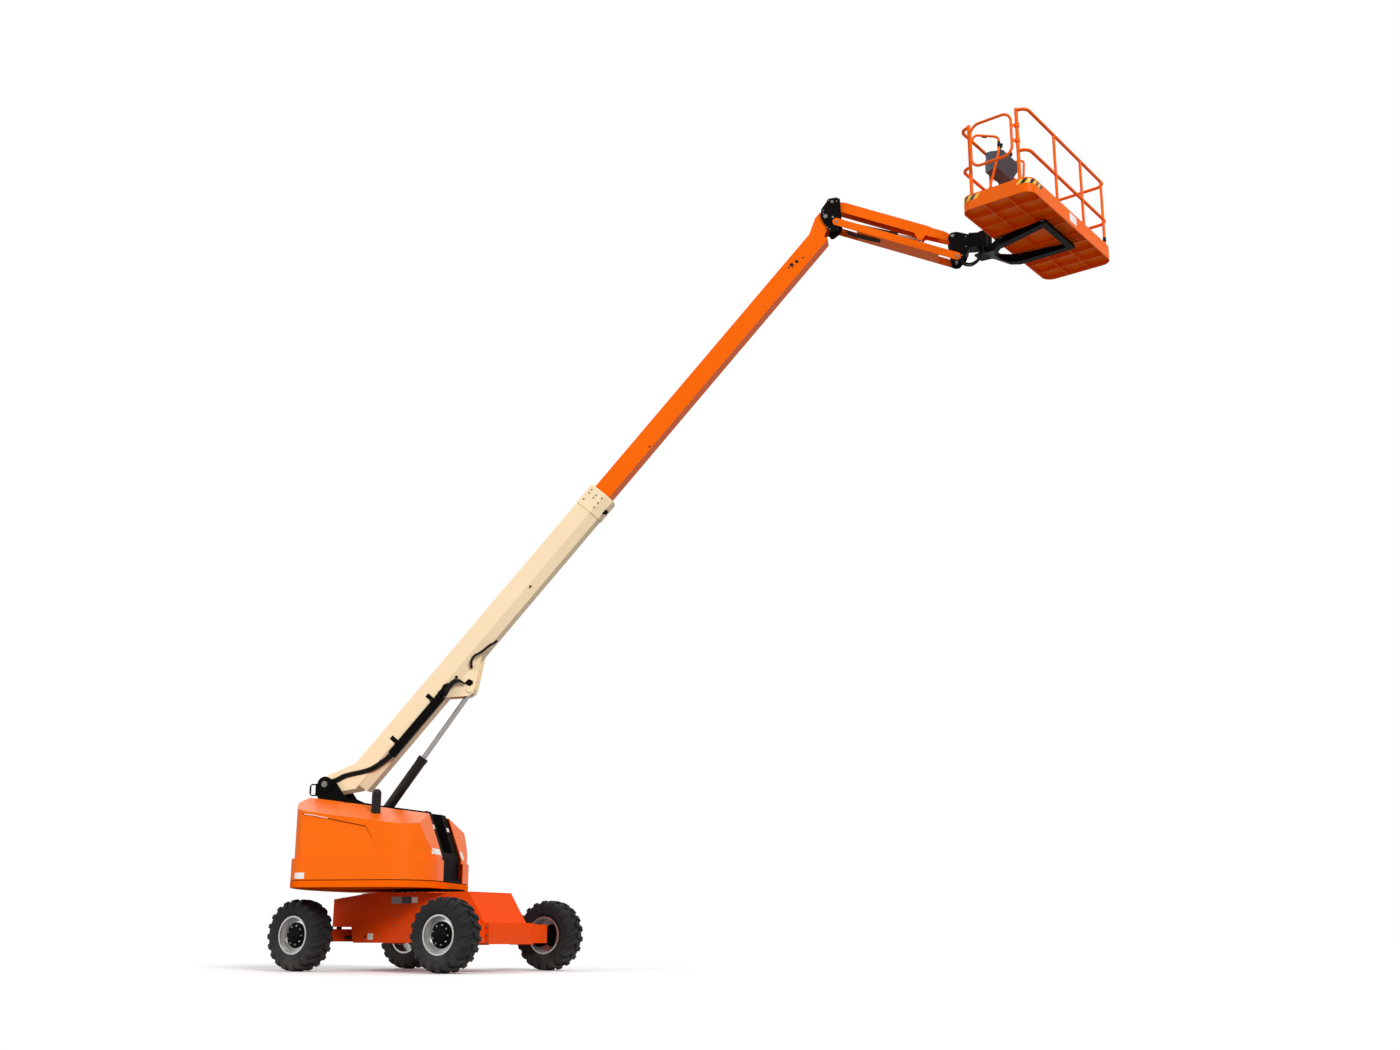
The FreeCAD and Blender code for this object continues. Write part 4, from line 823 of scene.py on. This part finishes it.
hoseRuns = {  # each hose of a run lies across and up from the route by its pair in "hoses"
    "boom_hoses": {
        "radius": 0.0125, "frame": boomFrame, "body": "boom",
        "hoses": [(0, 0), (0.002, 0.024), (-0.002, -0.024), (-0.010, 0.012)],
        "route": [(0.015, -0.150, 0.045), (0.108, -0.161, -0.050), (0.245, -0.161, -0.118),
                  (0.456, -0.161, -0.282), (0.591, -0.162, -0.346), (0.765, -0.164, -0.390),
                  (0.86, -0.166, -0.402)]},
    "tray_hoses": {
        "radius": 0.0105, "frame": boomFrame, "body": "boom",
        "hoses": [(0, 0), (0.003, 0.022), (-0.002, -0.022)],
        "route": [(1.70, -0.168, -0.425), (1.80, -0.167, -0.415), (1.90, -0.165, -0.395),
                  (1.985, -0.160, -0.400), (2.035, -0.140, -0.440), (2.045, -0.110, -0.490)]},
    "boom_lead": {
        "radius": 0.005, "frame": boomFrame, "body": "boom", "sides": 8,
        "hoses": [(0, 0)],
        "route": [(0.608, -0.150, -0.352), (0.66, -0.1505, -0.320), (0.714, -0.1505, -0.290),
                  (0.79, -0.1505, -0.292), (0.85, -0.1505, -0.262), (0.868, -0.1505, -0.215),
                  (0.835, -0.1505, -0.190), (0.808, -0.148, -0.205)]},
    "gusset_hose": {
        "radius": 0.016, "frame": boomFrame, "body": "boom",
        "hoses": [(0, 0)],
        "route": [(2.25, -0.10, -0.440), (2.316, -0.152, -0.398), (2.390, -0.162, -0.386),
                  (2.478, -0.161, -0.420), (2.614, -0.155, -0.448), (2.668, -0.130, -0.464),
                  (2.711, -0.088, -0.458)]},
    "steer_hoses": {
        "radius": 0.013, "frame": chassisFrame, "body": "chassis",
        "hoses": [(0, 0), (0.030, 0.006), (0.058, -0.004)],
        "route": [(-1.13, -0.300, 0.860), (-1.205, -0.300, 0.830), (-1.215, -0.300, 0.700),
                  (-1.185, -0.300, 0.563), (-1.175, -0.300, 0.450), (-1.100, -0.300, 0.396),
                  (-0.960, -0.300, 0.398), (-0.839, -0.300, 0.420)]},
    "jib_hoses": {
        "radius": 0.011, "frame": lowerArmFrame, "body": "jib_lower",
        "hoses": [(0, 0), (0.024, 0.002), (0.048, -0.002)],
        "route": [(0.16, -0.060, -0.045), (0.22, -0.062, -0.066), (0.34, -0.064, -0.070),
                  (0.50, -0.066, -0.064), (0.62, -0.068, -0.050)]},
    "head_hoses": {
        "radius": 0.011, "frame": headFrame, "body": "jib_head",
        "hoses": [(0, 0), (0.028, 0.006), (0.056, -0.006)],
        "route": [(0.060, -0.030, 0.000), (0.100, -0.034, -0.052), (0.180, -0.045, -0.072),
                  (0.262, -0.062, -0.030), (0.318, -0.078, 0.050), (0.345, -0.084, 0.128)]},
    "console_lead": {
        "radius": 0.010, "frame": platformFrame, "body": "platform",
        "hoses": [(0, 0), (0.028, 0)],
        "route": [(0.400, -0.300, 0.760), (0.372, -0.300, 0.700), (0.362, -0.304, 0.560),
                  (0.366, -0.296, 0.400), (0.358, -0.300, 0.250), (0.352, -0.300, 0.120),
                  (0.352, -0.300, 0.070)]},
}
for name, run in hoseRuns.items():
    makeHoses(name, run)
print("hoses made")


# plates and tape
def sheetShape(front, back):
    # two matching grids of points closed into a thin sheet
    rows, columns = len(front), len(front[0])
    points = [p for row in front for p in row] + [p for row in back for p in row]
    under = rows * columns
    faces = []
    for r in range(rows - 1):
        for c in range(columns - 1):
            a, b = r * columns + c, (r + 1) * columns + c
            faces += [(a, a + 1, b + 1, b), (under + a, under + b, under + b + 1, under + a + 1)]
    edge = list(range(columns)) + [r * columns + columns - 1 for r in range(1, rows)]
    edge += [(rows - 1) * columns + c for c in range(columns - 2, -1, -1)]
    edge += [r * columns for r in range(rows - 2, 0, -1)]
    for i, a in enumerate(edge):
        b = edge[(i + 1) % len(edge)]
        faces.append((a, under + a, under + b, b))
    return points, faces


plate = {
    "proud": 0.0012,
    "under": 0.0010,  # how deep its back lies in the panel
    "steps along": 12,
    "steps up": 4,
    "ray start": 0.5,
    "edge": 30,
}


def stuckOn(name, panel, along, width, height, middle, finish, proud, s):
    # a plate that follows the surface under it
    node, place, body = panel
    mesh = nodes[node].data
    surface = BVHTree.FromPolygons([v.co for v in mesh.vertices],
                                   [tuple(f.vertices) for f in mesh.polygons])
    turn = place.to_3x3()
    along, upward = turn @ Vector(along), turn @ upright
    outward = along.cross(upward).normalized()
    middle = place @ Vector(middle)
    front, back = [], []
    for row in range(s["steps up"] + 1):
        front.append([])
        back.append([])
        raised = upward * height * (row / s["steps up"] - 0.5)
        for column in range(s["steps along"] + 1):
            start = middle + along * width * (column / s["steps along"] - 0.5) + raised
            hit, normal = surface.ray_cast(start + outward * s["ray start"], -outward)[:2]
            if hit is None:
                print("no surface under", name)
                return
            front[-1].append(hit + normal * proud)
            back[-1].append(hit - normal * s["under"])
    thing = meshObject(name, *sheetShape(front, back))
    faceOutwards(thing)
    smoothEdges(thing, s["edge"])
    thing.data.materials.append(materials[finish])
    keepPiece(thing, body)


rightHood = ("hood_right", swingFrame, "right_hood")
leftHood = ("hood_left", swingFrame, "left_hood")
cowl = ("front_cowl", swingFrame, "turntable")
chassisBox = ("chassis_box", chassisFrame, "chassis")
toeBoard = ("toe_board", platformFrame, "platform")
plates = [  # name, panel, way along, width, height, middle, finish
    ("tail_plate", rightHood, (1, 0, 0), 0.125, 0.070, (-1.215, -1.1, 1.092), "plateWhite"),
    ("nose_plate_right", rightHood, (0, 1, 0), 0.30, 0.070, (0.3, -0.575, 1.385), "plateWhite"),
    ("nose_plate_left", leftHood, (0, 1, 0), 0.10, 0.110, (0.3, 0.465, 1.385), "plateWhite"),
    ("cowl_plate_right", cowl, (0, 1, 0), 0.09, 0.050, (0.3, -0.290, 1.700), "plateWhite"),
    ("cowl_plate_left", cowl, (0, 1, 0), 0.09, 0.050, (0.3, 0.290, 1.700), "plateWhite"),
    ("frame_plate_low", chassisBox, (1, 0, 0), 0.085, 0.075, (-0.545, -0.4, 0.404), "plateWhite"),
    ("frame_plate_a", chassisBox, (1, 0, 0), 0.15, 0.085, (-0.155, -0.4, 0.828), "plateGrey"),
    ("frame_plate_b", chassisBox, (1, 0, 0), 0.14, 0.080, (0.005, -0.4, 0.828), "plateBlack"),
    ("frame_plate_c", chassisBox, (1, 0, 0), 0.09, 0.070, (0.130, -0.4, 0.828), "plateWhite"),
    ("toe_plate", toeBoard, (0, 1, 0), 0.20, 0.110, (1.215, -0.02, 0.105), "plateWhite"),
]
thinnerProud = {"tail_plate": 0.0002}  # it lies at the widest place of the whole machine
for name, *rest in plates:
    stuckOn(name, *rest, thinnerProud.get(name, plate["proud"]), plate)


tape = {
    "low": 0.112, "high": 0.172, "stripe": 0.052, "lean": 0.050,
    "corner": 0.140, "inner": 0.285, "outer": 1.215, "near": -1.220,
    "proud": 0.0011, "under": 0.0010, "steps along": 4, "steps up": 3, "edge": 30,
    "runs": {"tape_left": (-0.500, 5), "tape_right": (0.270, 8)},  # start, stripes
}


def roundCorner(s, distance):
    # a point on the toe board's outside, measured from the middle of its near face
    half = (s["outer"] - s["inner"]) / 2
    side = 1 if distance > 0 else -1
    flat = half - s["corner"]
    gone = abs(distance)
    centre = Vector((s["inner"] + half + side * flat, s["near"] + s["corner"]))
    if gone < flat:
        return Vector((s["inner"] + half + distance, s["near"])), Vector((0, -1))
    angle = min((gone - flat) / s["corner"], math.pi / 2)
    out = Vector((side * math.sin(angle), -math.cos(angle)))
    past = max(gone - flat - s["corner"] * math.pi / 2, 0)
    return centre + out * s["corner"] + Vector((0, past)), out


def makeTape(name, start, stripes, s):
    for finish, first in (("tapeYellow", 0), ("plateBlack", 1)):
        shapes = []
        for stripe in range(first, stripes, 2):
            front, back = [], []
            for row in range(s["steps up"] + 1):
                height = s["low"] + (s["high"] - s["low"]) * row / s["steps up"]
                front.append([])
                back.append([])
                for column in range(s["steps along"] + 1):
                    gone = s["stripe"] * (stripe + column / s["steps along"])
                    spot, out = roundCorner(s, start + gone + s["lean"] * row / s["steps up"])
                    for grid, rise in ((front, s["proud"]), (back, -s["under"])):
                        at = spot + out * rise
                        grid[-1].append(Vector((at.x, at.y, height)))
            shapes.append(sheetShape(front, back))
        thing = meshObject(name + "_" + finish, *joinShapes(shapes), platformFrame)
        faceOutwards(thing, thinMerge)
        thing.data.materials.append(materials[finish])
        smoothEdges(thing, s["edge"])
        keepPiece(thing, "platform")


for name, (start, stripes) in tape["runs"].items():
    makeTape(name, start, stripes, tape)
print("plates and tape made")


# fittings on the arms
plugs = {  # round covers; a face is its height and its share of the radius, from the rim inward
    "steps round": 24,
    "root": 0.004,
    "fly": {
        "half width": 0.1,
        "face": [(0.00015, 1), (0.00015, 0)],  # flat, to slide past the wear pads
        "places": [(5.854, -0.341, 0.014), (8.970, -0.236, 0.020), (8.894, -0.218, 0.026),
                   (8.842, -0.212, 0.012), (9.061, -0.275, 0.012)]},
    "boom": {
        "half width": 0.145,
        "face": [(0.0015, 1), (0.0025, 0.85), (0.001, 0.7), (0.001, 0)],
        "places": [(3.508, -0.350, 0.014), (2.045, -0.380, 0.020)]},
}


def makePlugs(body, s):
    own = s[body]
    for number, (x, z, radius) in enumerate(own["places"]):
        outline = [(s["root"], 0), (s["root"], radius)]
        outline += [(-rise, radius * share) for rise, share in own["face"]]
        place = boomFrame @ Matrix.Translation((x, -own["half width"], z))
        plug = turnedPiece(f"{body}_plug_{number}", outline, place, materials["bootRubber"],
                           s["steps round"])
        keepPiece(plug, body)


makePlugs("fly", plugs)
makePlugs("boom", plugs)

armPlates = {  # outline along and up the boom, from and to across it, slot, rounding
    "mouth_lug": ([(4.80, -0.436), (4.875, -0.436), (4.868, -0.486), (4.82, -0.486)],
                  (-0.10, -0.08), "black_paint", 0.003),
    "gusset_clip": ([(2.05, -0.49), (2.125, -0.50), (2.14, -0.56), (2.11, -0.585), (2.06, -0.57)],
                    (-0.0925, -0.0865), "black_paint", 0.001),
    "tray_clip": ([(1.745, -0.440), (1.772, -0.440), (1.772, -0.330), (1.745, -0.330)],
                  (-0.1880, -0.1845), "steel", 0.001),
}
for name, (outline, (low, high), slot, rounding) in armPlates.items():
    solidPiece(name, prismShape(outline, low, high), boomFrame, "boom", materials[slot],
               rounding)
print("arm fittings made")


# controls on the console
panel = {
    "face": [(0.600, 0.9790), (0.470, 1.0090), (0.4705, 1.0135), (0.6005, 0.9835)],
    "face across": (-0.645, -0.235),
    "face rounding": 0.0012,
    "sticks": [-0.575, -0.305],
    "stick foot": (0.545, 0.996),
    "stick": [  # height, radius
        (-0.004, 0), (-0.004, 0.034), (0.004, 0.034), (0.010, 0.029), (0.013, 0.031),
        (0.020, 0.023), (0.024, 0.025), (0.032, 0.016), (0.040, 0.008), (0.066, 0.0075),
        (0.070, 0.014), (0.085, 0.019), (0.112, 0.020), (0.124, 0.016), (0.130, 0.007),
        (0.131, 0)],
    "toggles": [-0.500, -0.473, -0.446, -0.419, -0.392],
    "toggle foot": (0.590, 0.985),
    "toggle throw": 14,  # degrees to either side
    "toggle": [
        (-0.003, 0), (-0.003, 0.008), (0.006, 0.008), (0.007, 0.004), (0.022, 0.0030),
        (0.028, 0.0048), (0.031, 0.004), (0.032, 0)],
    "stop foot": (0.500, -0.440, 1.004),
    "stop": [
        (-0.004, 0), (-0.004, 0.024), (0.006, 0.024), (0.008, 0.012), (0.016, 0.012),
        (0.018, 0.021), (0.026, 0.022), (0.032, 0.017), (0.034, 0)],
    "lean": 12.9,  # degrees that the panel slopes
    "steps round": {"stick": 20, "toggle": 12, "stop": 24},
}


def makeControl(s, kind, name, foot, lean, material):
    place = (platformFrame @ Matrix.Translation(foot)
             @ Matrix.Rotation(math.radians(lean), 4, "Y") @ Matrix.Rotation(math.pi / 2, 4, "X"))
    return turnedPiece(name, s[kind], place, materials[material], s["steps round"][kind])


def makePanel(s):
    solidPiece("console_face", prismShape(s["face"], *s["face across"]), platformFrame,
               "platform", materials["plateBlack"], s["face rounding"])
    x, z = s["stick foot"]
    for number, y in enumerate(s["sticks"]):
        stick = makeControl(s, "stick", f"stick_{number}", (x, y, z), s["lean"], "bootRubber")
        keepPiece(stick, "platform")
    x, z = s["toggle foot"]
    toggles = []
    for number, y in enumerate(s["toggles"]):
        lean = s["lean"] + (s["toggle throw"], -s["toggle throw"])[number % 2]
        toggles.append(makeControl(s, "toggle", f"toggle_{number}", (x, y, z), lean, "steel"))
    keepPiece(joinedInto(toggles[0], toggles[1:]), "platform")
    stop = makeControl(s, "stop", "stop_button", s["stop foot"], s["lean"], "stopRed")
    keepPiece(stop, "platform")


makePanel(panel)


# sleeves on the rails
sleeves = {
    "wall": 0.004,
    "bite": 0.003,  # how far the sleeve reaches into the tube
    "rounding": (0.002, 0.001),  # along, outward
    "steps round": 16,
    "places": {  # start, end, the tube's radius
        "hoop_sleeve_a": ((0.420, -0.803, 1.168), (0.470, -0.770, 1.161), 0.015),
        "hoop_sleeve_b": ((0.596, -0.700, 1.080), (0.590, -0.700, 1.010), 0.015),
        "rail_sleeve_end": ((0.560, 1.190, 0.560), (0.640, 1.190, 0.560), 0.020),
        "rail_sleeve_post": ((1.185, 1.060, 0.300), (1.185, 1.060, 0.240), 0.018),
    },
}


def makeSleeve(name, start, end, radius, s):
    start, end = Vector(start), Vector(end)
    length, outer, inner = (end - start).length, radius + s["wall"], radius - s["bite"]
    along, outward = s["rounding"]
    turn = Vector((0, 1, 0)).rotation_difference(end - start).to_matrix().to_4x4()
    profile = [(0, inner), (0, outer - outward), (along, outer), (length - along, outer),
               (length, outer - outward), (length, inner)]
    band = turnedPiece(name, profile, platformFrame @ Matrix.Translation(start) @ turn,
                       materials["bootRubber"], s["steps round"], True)
    keepPiece(band, "platform")


for name, (start, end, radius) in sleeves["places"].items():
    makeSleeve(name, start, end, radius, sleeves)
print("console and rail fittings made")
